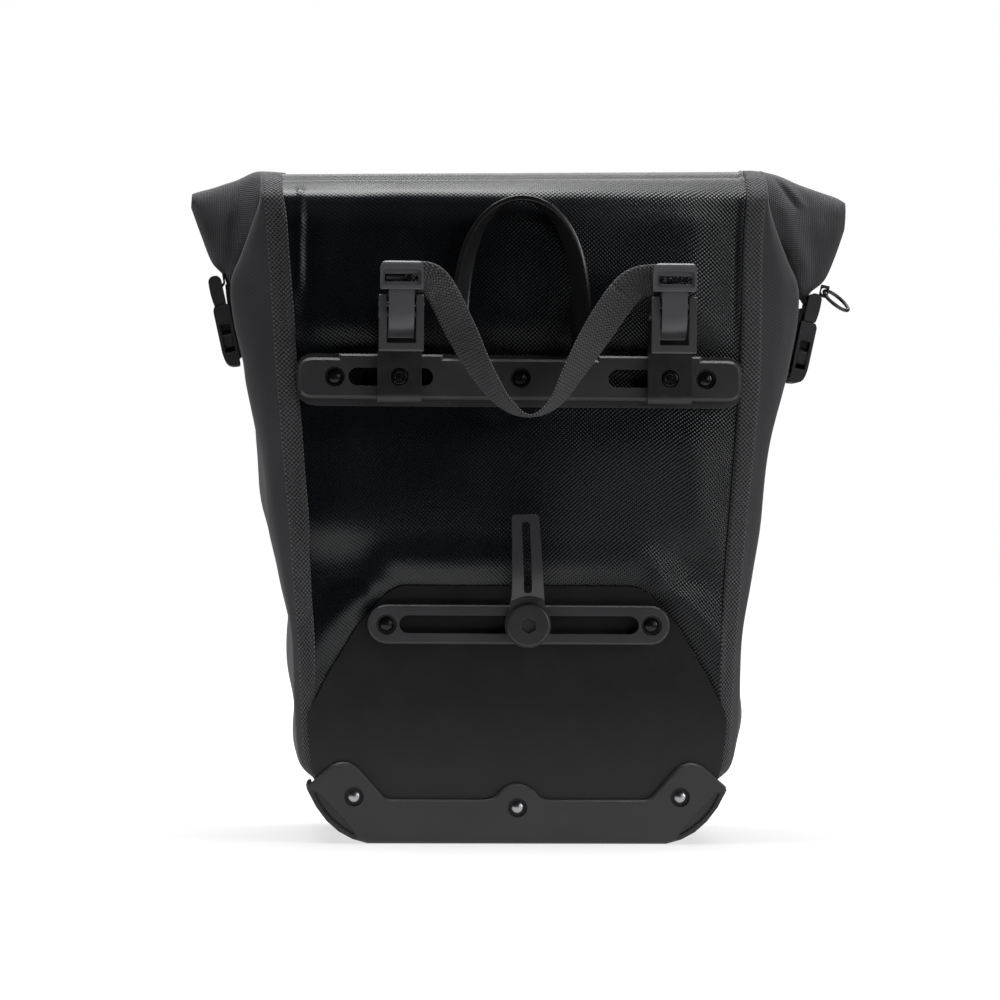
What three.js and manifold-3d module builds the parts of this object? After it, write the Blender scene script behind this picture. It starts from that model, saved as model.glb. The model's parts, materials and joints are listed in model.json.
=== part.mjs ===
// Roll-top bicycle pannier bag, seen from its rack side along +Y.
// Millimetres, +Z up, the rack side faces -Y, the origin is under the middle of the bag on the floor.
import * as THREE from 'three';
import { mergeVertices } from 'three/addons/utils/BufferGeometryUtils.js';
import Module from 'manifold-3d';

const wasm = await Module();
wasm.setup();

// ---------------------------------------------------------------- driving dimensions
const GAP = 0.3;                 // clearance between pieces that touch
const FABRIC = 2;                // thickness of a bag panel
const BACK_Y = -85;              // outer face of the back panel
const ROLL_FRONT_Y = -50.5;      // rack side face of the rolled top
const ROLL_REAR_Y = -8;
const ROLL_BOTTOM_Z = 376.5;
const ROLL_TOP_Z = 423;
const ROLL_HALF = 149;           // half length of the straight part of the roll
const FLOOR_DROP = 3.4;          // how far the bottom sags in front of the protector lip
const DROP_START_Y = -43;
const DROP_END_Y = -33;

const PLATE_FRONT_Y = -86.9;     // lower wear plate
const PLATE_BACK_Y = -85.4;
const BOARD_FRONT_Y = -82.2;     // stiffener board inside the bag
const BOARD_BACK_Y = -80.2;

const PROTECTOR_FRONT_Y = -90.3; // moulded bottom edge protector
const PROTECTOR_WALL_Y = -87.2;
const PROTECTOR_REAR_Y = -46;
const PROTECTOR_LIP = 3;
const RIVET_SEAT_Y = -88.1;

const RAIL_BACK_Y = -85.3;       // upper rail
const RAIL_FRONT_Y = -94.3;
const RAIL_FLANGE_Y = -88.3;
const RAIL_WALL = 3;
const RAIL_HALF = 139;
const RAIL_LOW_Z = 271.6;
const RAIL_HIGH_Z = 303.8;
const SLOT_Z = 289.7;            // centre line of the upper rail slots
const SLOT_RADIUS = 5.6;
const SLOT_NEAR_X = 54.5;
const SLOT_FAR_X = 107;
const RAIL_SCREW_X = [-115.6, 0, 115.6];

const LOWER_RAIL_BACK_Y = -87.2; // lower rail
const LOWER_RAIL_FRONT_Y = -95.7;
const LOWER_RAIL_Z = 136.3;
const LOWER_RAIL_RADIUS = 12.15;
const LOWER_RAIL_HALF = 94;
const LOWER_SLOT_HALF = 74.6;
const LOWER_SCREW_X = 82.5;

const SCREW_RECESS = 6.5;
const SCREW_HEAD = 4.9;
const SCREW_SHANK = 2;
const NUT_FRONT_Y = -79.9;
const NUT_BACK_Y = -76.6;
const NUT_RADIUS = 6.4;

const HOOK_LEFT_X = -75.4;
const HOOK_RIGHT_X = 92.8;
const HOOK_HALF = 13.7;          // half width of a hook
const HOOK_BACK_Y = -94.6;
const HOOK_PLATE_Y = -98.6;      // front face of the clamp plate, back wall of the jaw
const LIP_BACK_Y = -118.6;
const LIP_FRONT_Y = -124.2;
const LIP_LOW_Z = 304.6;
const LIP_BAR_Z = 309.6;
const SEAT_Z = 330;
const HOOK_TOP_Z = 339.6;
const HOOK_LOW_Z = 273.9;        // the clamp plate curls under the face of the rail
const FORK_HALF = 9.1;           // half width of the window between the fork legs
const TONGUE_HALF = 7.8;
const PIN_Y = -121;
const PIN_Z = 333.3;
const PIN_RADIUS = 1.5;
const HEAD_LOW_Z = 342.5;
const HEAD_TOP_Z = 360;
const HEAD_HALF = 13.2;          // half width of a lever head
const STRAP_WIDTH = 20;
const STRAP_THICK = 1.8;

const ANCHOR_X = 5.3;
const ANCHOR_DISC = 14.3;
const ANCHOR_HEAD = 13.4;
const ARCH_RADIUS = 18.3;        // hollow of the arm around the bolt head
const ANCHOR_LEAN = THREE.MathUtils.degToRad(2.4);

const BUCKLE_Y = -25;
const BUCKLE_THICK = 10.4;
const BUCKLE_WIDTH = 27;
const MALE_LENGTH = 18.4;
const FEMALE_LENGTH = 39.6;
const PRONG_HALF = 2.9;          // half thickness of a prong and of the female's hollow
const CORE_HALF = 4.6;           // half width of the wall between the two prongs
const PRONG_LENGTH = 29;
const LEFT_BUCKLE_TOP = new THREE.Vector3(-190.7, BUCKLE_Y, 354);
const RIGHT_BUCKLE_TOP = new THREE.Vector3(191.8, BUCKLE_Y, 346.5);
const RING_LOOP_X = 6.4;
const RING_LOOP_Z = 3.4;
const RING_RADIUS = 9.6;
const RING_WIRE = 1.25;
const RING_TWIST = THREE.MathUtils.degToRad(22);

const RIVETS = [['left', -101.7, 29], ['middle', 0, 22.4], ['right', 101.7, 29]];

// Levels of the bag body: height, back face, seam, strip edge, fold, middle and front face.
// The widths are half widths measured from the middle of the bag.
const LEVELS = [
  { z: 4, back: -77, seam: 80, strip: 86, fold: 92, mid: 92, front: 60 },
  { z: 9, back: -81.5, seam: 92, strip: 98, fold: 105, mid: 105, front: 69 },
  { z: 16, back: -84.2, seam: 102, strip: 108, fold: 114.3, mid: 114.3, front: 75.5 },
  { z: 26, back: BACK_Y, seam: 110, strip: 116, fold: 121.8, mid: 121.8, front: 80 },
  { z: 38, back: BACK_Y, seam: 117, strip: 122, fold: 126.6, mid: 126.6, front: 82.5 },
  { z: 47, back: BACK_Y, seam: 125, strip: 131, fold: 135.6, mid: 135.6, front: 83.5 },
  { z: 64, back: BACK_Y, seam: 126.5, strip: 134, fold: 140.3, mid: 140.3, front: 84.5 },
  { z: 95, back: BACK_Y, seam: 127, strip: 135.5, fold: 142.7, mid: 142.7, front: 85 },
  { z: 130, back: BACK_Y, seam: 127.7, strip: 137.5, fold: 143.8, mid: 143.8, front: 85 },
  { z: 165, back: BACK_Y, seam: 129.2, strip: 140.5, fold: 150.5, mid: 150, front: 84.5 },
  { z: 207, back: BACK_Y, seam: 132, strip: 144, fold: 158.2, mid: 157.5, front: 83 },
  { z: 251, back: BACK_Y, seam: 136, strip: 148.3, fold: 163.3, mid: 162.5, front: 79 },
  { z: 295, back: BACK_Y, seam: 138.8, strip: 151.7, fold: 171, mid: 167, front: 71 },
  { z: 325, back: BACK_Y, seam: 140, strip: 153.3, fold: 177, mid: 167.5, front: 56 },
  { z: 348, back: BACK_Y, seam: 141, strip: 154, fold: 178.5, mid: 165, front: 34 },
  { z: 366, back: BACK_Y, seam: 141.6, strip: 154.3, fold: 172.5, mid: 161, front: 9 },
  { z: 385, back: BACK_Y, seam: 142.3, strip: 154.6, fold: 166, mid: 158, front: -14 },
  { z: 403, back: -79.5, seam: 143, strip: 155.4, fold: 161, mid: 156, front: -18 },
  { z: 414, back: -70, seam: 143.5, strip: 156, fold: 160.2, mid: 156, front: -20 },
  { z: 421, back: -56, seam: 144, strip: 156.3, fold: 159.8, mid: 156, front: -22 },
];
const BACK_STEPS = 4;            // grid steps across half the back, a gusset and half the front
const GUSSET_STEPS = 12;
const FRONT_STEPS = 5;

// ---------------------------------------------------------------- materials
const LOOKS = {
  gloss: { color: 0x17191d, roughness: 0.28, metalness: 0 },
  matte: { color: 0x3a3a3d, roughness: 0.85, metalness: 0 },
  webbing: { color: 0x38383b, roughness: 0.8, metalness: 0 },
  moulded: { color: 0x3b3b3e, roughness: 0.5, metalness: 0 },
  plate: { color: 0x232224, roughness: 0.6, metalness: 0 },
  board: { color: 0x2b2b2d, roughness: 0.6, metalness: 0 },
  steel: { color: 0xa8a8ac, roughness: 0.25, metalness: 1 },
  blackSteel: { color: 0x2a2a2c, roughness: 0.4, metalness: 0.8 },
};

const bag = new THREE.Group();
bag.name = 'pannier_bag';

function addPiece(name, geometry, look, parent = bag) {
  const mesh = new THREE.Mesh(geometry, new THREE.MeshStandardMaterial(LOOKS[look]));
  mesh.name = name;
  parent.add(mesh);
  return mesh;
}

// ---------------------------------------------------------------- solid helpers
function toManifold(geometry) {
  const bare = geometry.clone();
  bare.deleteAttribute('normal');
  bare.deleteAttribute('uv');
  const welded = mergeVertices(bare, 1e-4);
  return new wasm.Manifold(new wasm.Mesh({
    numProp: 3,
    vertProperties: new Float32Array(welded.attributes.position.array),
    triVerts: new Uint32Array(welded.index.array),
  }));
}

function toGeometry(manifold) {
  const mesh = manifold.getMesh();
  const geometry = new THREE.BufferGeometry();
  geometry.setAttribute('position', new THREE.BufferAttribute(mesh.vertProperties, mesh.numProp));
  geometry.setIndex(new THREE.BufferAttribute(mesh.triVerts, 1));
  geometry.computeVertexNormals();
  return geometry;
}

function join(...parts) {
  return toGeometry(parts.map(toManifold).reduce((a, b) => a.add(b)));
}

function cut(base, ...tools) {
  return toGeometry([base, ...tools].map(toManifold).reduce((a, b) => a.subtract(b)));
}

function common(...parts) {
  return toGeometry(parts.map(toManifold).reduce((a, b) => a.intersect(b)));
}

// Outline in X and Z, made solid from yFront to yBack.
function prismY(shape, yFront, yBack, curveSegments = 8) {
  const depth = yBack - yFront;
  const geometry = new THREE.ExtrudeGeometry(shape, { depth, bevelEnabled: false, curveSegments });
  geometry.rotateX(Math.PI / 2);
  geometry.translate(0, yBack, 0);
  return geometry;
}

// The same with both edges of the outline bevelled inwards.
function bevelledPrismY(shape, yFront, yBack, bevel, curveSegments = 8) {
  const geometry = new THREE.ExtrudeGeometry(shape, {
    depth: yBack - yFront - 2 * bevel,
    bevelThickness: bevel,
    bevelSize: bevel,
    bevelOffset: -bevel,
    bevelSegments: 1,
    curveSegments,
  });
  geometry.rotateX(Math.PI / 2);
  geometry.translate(0, yBack - bevel, 0);
  return geometry;
}

// Outline in Y and Z, made solid from x0 to x1.
function prismX(shape, x0, x1, curveSegments = 8) {
  const depth = x1 - x0;
  const geometry = new THREE.ExtrudeGeometry(shape, { depth, bevelEnabled: false, curveSegments });
  const turn = new THREE.Matrix4().makeBasis(
    new THREE.Vector3(0, 1, 0),
    new THREE.Vector3(0, 0, 1),
    new THREE.Vector3(1, 0, 0),
  );
  geometry.applyMatrix4(turn);
  geometry.translate(x0, 0, 0);
  return geometry;
}

// Outline in X and Y, made solid from z0 to z1.
function prismZ(shape, z0, z1, curveSegments = 8) {
  const depth = z1 - z0;
  const geometry = new THREE.ExtrudeGeometry(shape, { depth, bevelEnabled: false, curveSegments });
  geometry.translate(0, 0, z0);
  return geometry;
}

function box(x0, x1, y0, y1, z0, z1) {
  const geometry = new THREE.BoxGeometry(x1 - x0, y1 - y0, z1 - z0);
  geometry.translate((x0 + x1) / 2, (y0 + y1) / 2, (z0 + z1) / 2);
  return geometry;
}

function rodY(radius, yFront, yBack, x, z, sides = 20) {
  const geometry = new THREE.CylinderGeometry(radius, radius, yBack - yFront, sides);
  geometry.translate(x, (yFront + yBack) / 2, z);
  return geometry;
}

function rodX(radius, x0, x1, y, z, sides = 16) {
  const geometry = new THREE.CylinderGeometry(radius, radius, x1 - x0, sides);
  geometry.rotateZ(Math.PI / 2);
  geometry.translate((x0 + x1) / 2, y, z);
  return geometry;
}

// Solid of revolution about a line along Y; the profile holds [radius, y] pairs.
function turnedY(profile, x, z, sides = 20) {
  const points = profile.map(([radius, y]) => new THREE.Vector2(radius, y));
  const geometry = new THREE.LatheGeometry(points, sides);
  geometry.translate(x, 0, z);
  return geometry;
}

// Closed outline with rounded corners; each corner is [x, y, radius].
function roundedOutline(corners) {
  const shape = new THREE.Shape();
  corners.forEach(([x, y, radius], i) => {
    const here = new THREE.Vector2(x, y);
    const before = corners[(i + corners.length - 1) % corners.length];
    const after = corners[(i + 1) % corners.length];
    const toBefore = new THREE.Vector2(before[0] - x, before[1] - y).normalize();
    const toAfter = new THREE.Vector2(after[0] - x, after[1] - y).normalize();
    const start = here.clone().addScaledVector(toBefore, radius);
    const end = here.clone().addScaledVector(toAfter, radius);
    if (i === 0) shape.moveTo(start.x, start.y);
    else shape.lineTo(start.x, start.y);
    if (radius > 0) shape.quadraticCurveTo(x, y, end.x, end.y);
  });
  shape.closePath();
  return shape;
}

function stadium(x0, x1, z, radius) {
  const shape = new THREE.Shape();
  shape.moveTo(x0 + radius, z - radius);
  shape.lineTo(x1 - radius, z - radius);
  shape.absarc(x1 - radius, z, radius, -Math.PI / 2, Math.PI / 2, false);
  shape.lineTo(x0 + radius, z + radius);
  shape.absarc(x0 + radius, z, radius, Math.PI / 2, Math.PI * 1.5, false);
  return shape;
}

// Closed solid between two grids of points of the same size.
function sheetSolid(face, reverse) {
  const rows = face.length;
  const cols = face[0].length;
  const at = (side, r, c) => side * rows * cols + r * cols + c;
  const faces = [];
  const quad = (a, b, c, d) => faces.push(a, b, c, a, c, d);
  for (let r = 0; r < rows - 1; r++) {
    for (let c = 0; c < cols - 1; c++) {
      quad(at(0, r, c), at(0, r, c + 1), at(0, r + 1, c + 1), at(0, r + 1, c));
      quad(at(1, r, c), at(1, r + 1, c), at(1, r + 1, c + 1), at(1, r, c + 1));
    }
    quad(at(0, r, 0), at(0, r + 1, 0), at(1, r + 1, 0), at(1, r, 0));
    quad(at(0, r, cols - 1), at(1, r, cols - 1), at(1, r + 1, cols - 1), at(0, r + 1, cols - 1));
  }
  for (let c = 0; c < cols - 1; c++) {
    quad(at(0, 0, c), at(1, 0, c), at(1, 0, c + 1), at(0, 0, c + 1));
    quad(at(0, rows - 1, c), at(0, rows - 1, c + 1), at(1, rows - 1, c + 1), at(1, rows - 1, c));
  }
  return facingOut([...face.flat(), ...reverse.flat()], faces);
}

// Turns the faces round if the closed mesh is inside out.
function facingOut(points, faces) {
  const cross = new THREE.Vector3();
  let volume = 0;
  for (let i = 0; i < faces.length; i += 3) {
    cross.crossVectors(points[faces[i + 1]], points[faces[i + 2]]);
    volume += points[faces[i]].dot(cross);
  }
  if (volume < 0) faces.reverse();
  const geometry = new THREE.BufferGeometry().setFromPoints(points);
  geometry.setIndex(faces);
  geometry.computeVertexNormals();
  return geometry;
}

// Flat strap through stations { at, across }; across points along the width.
function ribbon(stations, width, thickness) {
  const tangent = (i) => {
    const before = stations[Math.max(i - 1, 0)].at;
    const after = stations[Math.min(i + 1, stations.length - 1)].at;
    return after.clone().sub(before).normalize();
  };
  const row = (side) => stations.map(({ at, across }, i) => {
    const wide = across.clone().normalize();
    const thin = tangent(i).cross(wide).normalize().multiplyScalar((side * thickness) / 2);
    return [-0.5, 0.5].map((k) => at.clone().addScaledVector(wide, k * width).add(thin));
  });
  return sheetSolid(row(1), row(-1));
}

// ---------------------------------------------------------------- bag body
// Right half of one level as plan points, from the middle of the back to the middle of the front.
function halfSection(level) {
  const { back, seam, strip, fold, mid, front } = level;
  const depth = front - back;
  const points = [];
  for (let i = 0; i <= BACK_STEPS; i++) {
    points.push(new THREE.Vector2((seam * i) / BACK_STEPS, back));
  }
  const gusset = new THREE.SplineCurve([
    new THREE.Vector2(strip, back + 1.2),
    new THREE.Vector2(THREE.MathUtils.lerp(strip, fold, 0.68), back + 0.035 * depth),
    new THREE.Vector2(fold, back + 0.13 * depth),
    new THREE.Vector2(mid, back + 0.36 * depth),
    new THREE.Vector2(mid, back + 0.8 * depth),
    new THREE.Vector2(mid - 8, back + 0.955 * depth),
    new THREE.Vector2(mid - 27, front),
  ]);
  points.push(...gusset.getPoints(GUSSET_STEPS));
  for (let i = 1; i <= FRONT_STEPS; i++) {
    const t = i / FRONT_STEPS;
    points.push(new THREE.Vector2((mid - 27) * (1 - t), front + 3 * Math.sin((t * Math.PI) / 2)));
  }
  return points;
}

// How far a point near the base sags to the floor beyond the protector lip.
function sag(y, z) {
  const reach = THREE.MathUtils.smoothstep(y, DROP_START_Y, DROP_END_Y);
  const fade = THREE.MathUtils.clamp(1 - (z - LEVELS[0].z) / 22, 0, 1);
  return FLOOR_DROP * reach * fade;
}

function levelLoop(level) {
  const half = halfSection(level);
  const mirrored = half.slice(1, -1).reverse().map((p) => new THREE.Vector2(-p.x, p.y));
  return [...half, ...mirrored].map((p) => new THREE.Vector3(p.x, p.y, level.z - sag(p.y, level.z)));
}

const outerGrid = LEVELS.map(levelLoop);
const LOOP = outerGrid[0].length;

// The same surface set in by a distance along its normal.
function insetGrid(distance) {
  return outerGrid.map((loop, r) => loop.map((point, c) => {
    const along = loop[(c + 1) % LOOP].clone().sub(loop[(c + LOOP - 1) % LOOP]);
    const above = outerGrid[Math.min(r + 1, outerGrid.length - 1)][c];
    const below = outerGrid[Math.max(r - 1, 0)][c];
    const normal = along.cross(above.clone().sub(below)).normalize();
    return point.clone().addScaledVector(normal, -distance);
  }));
}

const innerGrid = insetGrid(FABRIC);

// One panel of the body: the columns of the grid from first to first + steps.
function bodyPanel(first, steps) {
  const columns = Array.from({ length: steps + 1 }, (_, i) => (first + i + LOOP) % LOOP);
  const pick = (grid) => grid.map((loop) => {
    const row = columns.map((c) => loop[c].clone());
    const last = row.length - 1;
    const startStep = row[1].clone().sub(row[0]).setLength(GAP / 2);
    const endStep = row[last - 1].clone().sub(row[last]).setLength(GAP / 2);
    row[0].add(startStep);
    row[last].add(endStep);
    return row;
  });
  return sheetSolid(pick(outerGrid), pick(innerGrid));
}

// Column numbers of the seams, counted from the middle of the back towards +X.
const SEAM_RIGHT = BACK_STEPS;
const GUSSET_RIGHT = SEAM_RIGHT + 1;
const FRONT_RIGHT = GUSSET_RIGHT + GUSSET_STEPS;
const FRONT_LEFT = FRONT_RIGHT + 2 * FRONT_STEPS;
const GUSSET_LEFT = FRONT_LEFT + GUSSET_STEPS;

// Space taken by the rolled top above the front of the bag.
function rollSpace() {
  return box(-250, 250, ROLL_FRONT_Y - GAP, 120, ROLL_BOTTOM_Z - GAP, 450);
}

function fastenerHoles(yFront, yBack) {
  const radius = SCREW_SHANK + GAP;
  const spots = [
    ...RAIL_SCREW_X.map((x) => [x, SLOT_Z]),
    ...[-LOWER_SCREW_X, LOWER_SCREW_X].map((x) => [x, LOWER_RAIL_Z]),
    ...RIVETS.map(([, x, z]) => [x, z]),
  ];
  return spots.map(([x, z]) => rodY(radius, yFront, yBack, x, z, 12));
}

function addBody() {
  const back = bodyPanel(-SEAM_RIGHT, 2 * BACK_STEPS);
  addPiece('back_panel', cut(back, ...fastenerHoles(-95, -75)), 'gloss');
  addPiece('seam_strip_right', bodyPanel(SEAM_RIGHT, 1), 'matte');
  addPiece('seam_strip_left', bodyPanel(GUSSET_LEFT, 1), 'matte');
  addPiece('side_gusset_right', cut(bodyPanel(GUSSET_RIGHT, GUSSET_STEPS), rollSpace()), 'matte');
  addPiece('side_gusset_left', cut(bodyPanel(FRONT_LEFT, GUSSET_STEPS), rollSpace()), 'matte');
  addPiece('front_panel', cut(bodyPanel(FRONT_RIGHT, 2 * FRONT_STEPS), rollSpace()), 'gloss');
  addPiece('bottom_panel', bottomPanel(), 'gloss');
}

// The bottom lies on the protector lip at the back and on the floor in front of it.
function bottomPanel() {
  const rim = insetGrid(FABRIC + 2 * GAP)[0];
  const plan = prismZ(new THREE.Shape(rim.map((p) => new THREE.Vector2(p.x, p.y))), -1, 8);
  const high = PROTECTOR_LIP + GAP;
  const profile = new THREE.Shape();
  profile.moveTo(-90, high);
  profile.lineTo(DROP_START_Y, high);
  profile.lineTo(DROP_END_Y, 0);
  profile.lineTo(90, 0);
  profile.lineTo(90, FABRIC);
  profile.lineTo(DROP_END_Y + 1, FABRIC);
  profile.lineTo(DROP_START_Y + 1, high + FABRIC);
  profile.lineTo(-90, high + FABRIC);
  profile.closePath();
  return common(plan, prismX(profile, -150, 150));
}

// ---------------------------------------------------------------- rolled top and its ends
function addRoll() {
  const roll = roundedOutline([
    [ROLL_FRONT_Y, ROLL_BOTTOM_Z, 13],
    [ROLL_REAR_Y, ROLL_BOTTOM_Z, 15],
    [ROLL_REAR_Y, ROLL_TOP_Z, 15],
    [ROLL_FRONT_Y, ROLL_TOP_Z, 11],
  ]);
  addPiece('roll_top', prismX(roll, -ROLL_HALF, ROLL_HALF, 4), 'gloss');
  const leftOutline = [
    [-ROLL_HALF - GAP, ROLL_BOTTOM_Z, 0], [-165, ROLL_BOTTOM_Z, 8], [-177.5, 352, 4],
    [-192.5, 363, 5], [-206, 397.5, 4], [-205.5, 408.3, 3], [-162, 422, 8], [-ROLL_HALF - GAP, 422, 0],
  ];
  const rightOutline = [
    [ROLL_HALF + GAP, ROLL_BOTTOM_Z, 0], [165, ROLL_BOTTOM_Z, 8], [182.5, 342.6, 4],
    [199, 355.5, 5], [211, 386, 5], [210.6, 405.2, 3], [159, 422.6, 8], [ROLL_HALF + GAP, 422.6, 0],
  ];
  addPiece('roll_end_left', rollEnd(leftOutline, -1), 'matte');
  addPiece('roll_end_right', rollEnd(rightOutline, 1), 'matte');
}

// A flattened end of the roll, bent down to its buckle and thinner towards its edges.
function rollEnd(corners, side) {
  const face = prismY(roundedOutline(corners), -60, 10, 4);
  const plan = new THREE.Shape([
    [140, -50.5], [152, -50.5], [178, -45], [230, -37], [230, -15], [178, -11], [152, -8], [140, -8],
  ].map(([x, y]) => new THREE.Vector2(side * x, y)));
  const profile = new THREE.Shape([
    [-37, 330], [-38, 352], [-47, 390], [-50.5, 405], [-40, 430], [-18, 430],
    [-8, 405], [-9, 380], [-14, 352], [-14, 330],
  ].map(([y, z]) => new THREE.Vector2(y, z)));
  return common(face, prismZ(plan, 320, 430), prismX(profile, -230, 230));
}

// ---------------------------------------------------------------- back fittings
function addStiffening() {
  const board = roundedOutline([[-112, 19, 14], [112, 19, 14], [131, 380, 20], [-131, 380, 20]]);
  const boardSolid = prismY(board, BOARD_FRONT_Y, BOARD_BACK_Y, 3);
  addPiece('stiffener_board', cut(boardSolid, ...fastenerHoles(-90, -75)), 'board');
  const right = [
    [78, 160.2, 10], [99, 137, 5], [117, 107, 5], [131.3, 79, 7], [129.5, 60, 5], [126.5, 42, 6],
    [112, 18, 12],
  ];
  const left = right.map(([x, z, radius]) => [-x, z, radius]).reverse();
  const plate = prismY(roundedOutline([...right, ...left]), PLATE_FRONT_Y, PLATE_BACK_Y, 4);
  addPiece('lower_wear_plate', cut(plate, ...fastenerHoles(-95, -75)), 'plate');
}

// Moulded edge along the bottom: a front wall with three humps and a lip under the bag.
function addProtector() {
  const outline = new THREE.Shape();
  outline.moveTo(-93, 0);
  outline.lineTo(93, 0);
  outline.quadraticCurveTo(118, 4, 130.8, 33.3);
  outline.lineTo(130.2, 35.9);
  outline.lineTo(115.5, 48.6);
  outline.quadraticCurveTo(107, 53, 100, 47.5);
  outline.lineTo(84.5, 30);
  outline.quadraticCurveTo(82, 27.3, 78, 27.3);
  outline.lineTo(21, 27.3);
  outline.quadraticCurveTo(14, 27.3, 10.5, 33);
  outline.quadraticCurveTo(0, 42, -10.5, 33);
  outline.quadraticCurveTo(-14, 27.3, -21, 27.3);
  outline.lineTo(-78, 27.3);
  outline.quadraticCurveTo(-82, 27.3, -84.5, 30);
  outline.lineTo(-100, 47.5);
  outline.quadraticCurveTo(-107, 53, -115.5, 48.6);
  outline.lineTo(-130.2, 35.9);
  outline.lineTo(-130.8, 33.3);
  outline.quadraticCurveTo(-118, 4, -93, 0);
  const inside = new THREE.Shape();
  inside.moveTo(-92.5, PROTECTOR_LIP);
  inside.lineTo(92.5, PROTECTOR_LIP);
  inside.quadraticCurveTo(115.6, 6.4, 127.6, 35.5);
  inside.lineTo(127.6, 37.2);
  inside.lineTo(135, 37.2);
  inside.lineTo(135, 60);
  inside.lineTo(-135, 60);
  inside.lineTo(-135, 37.2);
  inside.lineTo(-127.6, 37.2);
  inside.lineTo(-127.6, 35.5);
  inside.quadraticCurveTo(-115.6, 6.4, -92.5, PROTECTOR_LIP);
  const solid = bevelledPrismY(outline, PROTECTOR_FRONT_Y, PROTECTOR_REAR_Y, 1.2, 5);
  const hollow = prismY(inside, PROTECTOR_WALL_Y, 0, 5);
  const corners = [-1, 1].flatMap((side) => [
    prismY(cornerStep(side), -100, PROTECTOR_FRONT_Y + 1, 3),
    prismY(cornerGroove(side), -100, PROTECTOR_WALL_Y - 0.8, 5),
  ]);
  const dishes = RIVETS.map(([, x, z]) => rodY(6.1, -100, RIVET_SEAT_Y, x, z, 18));
  const holes = fastenerHoles(-100, -75).slice(-RIVETS.length);
  addPiece('bottom_edge_protector', cut(solid, hollow, ...corners, ...dishes, ...holes), 'moulded');
  RIVETS.forEach(([side, x, z]) => addPiece(`protector_rivet_${side}`, rivet(x, z), 'steel'));
}

// Shallow step over one bottom corner of the protector, inside a nearly straight chord.
function cornerStep(side) {
  const corners = [
    [124.6, 32.4], [114.4, 22.3], [107.2, 14.7], [100, 5.4], [100, -2], [118, -2], [136, 20], [136, 32.4],
  ];
  return new THREE.Shape(corners.map(([x, z]) => new THREE.Vector2(side * x, z)));
}

// Narrow groove in that step, following the rounded corner.
function cornerGroove(side) {
  const shape = new THREE.Shape();
  shape.moveTo(side * 126.5, 31);
  shape.quadraticCurveTo(side * 120.5, 14.9, side * 102.1, 5.1);
  shape.lineTo(side * 101.6, 6.6);
  shape.quadraticCurveTo(side * 119, 16.7, side * 125, 31.6);
  shape.closePath();
  return shape;
}

// Domed rivet, sunk in its dish so that nothing stands out of the protector's face.
function rivet(x, z) {
  const seat = RIVET_SEAT_Y - 0.15;
  return turnedY([
    [0, seat - 1.9], [1.5, seat - 1.75], [2.9, seat - 1.2], [3.8, seat - 0.5], [4.2, seat],
    [SCREW_SHANK, seat], [SCREW_SHANK, -79.9], [4.6, -79.9], [4.6, -79], [0, -79],
  ], x, z, 18);
}

// Dome headed screw through a rail and the flange nut that holds it inside the bag.
function addScrew(name, nutName, x, z, seatY) {
  const screw = turnedY([
    [0, seatY - 2.4], [2.6, seatY - 2.1], [4.3, seatY - 1.1], [SCREW_HEAD, seatY - GAP],
    [SCREW_SHANK, seatY - GAP], [SCREW_SHANK, NUT_BACK_Y - 0.6], [0, NUT_BACK_Y - 0.6],
  ], x, z, 16);
  addPiece(name, screw, 'blackSteel');
  const bore = rodY(SCREW_SHANK + GAP, -90, -70, x, z, 12);
  addPiece(nutName, cut(rodY(NUT_RADIUS, NUT_FRONT_Y, NUT_BACK_Y, x, z, 16), bore), 'blackSteel');
}

function screwPocket(x, z, frontY, seatY) {
  return join(
    rodY(SCREW_RECESS, frontY - 5, seatY, x, z, 16),
    rodY(SCREW_SHANK + GAP, seatY - 1, -80, x, z, 12),
  );
}

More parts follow.
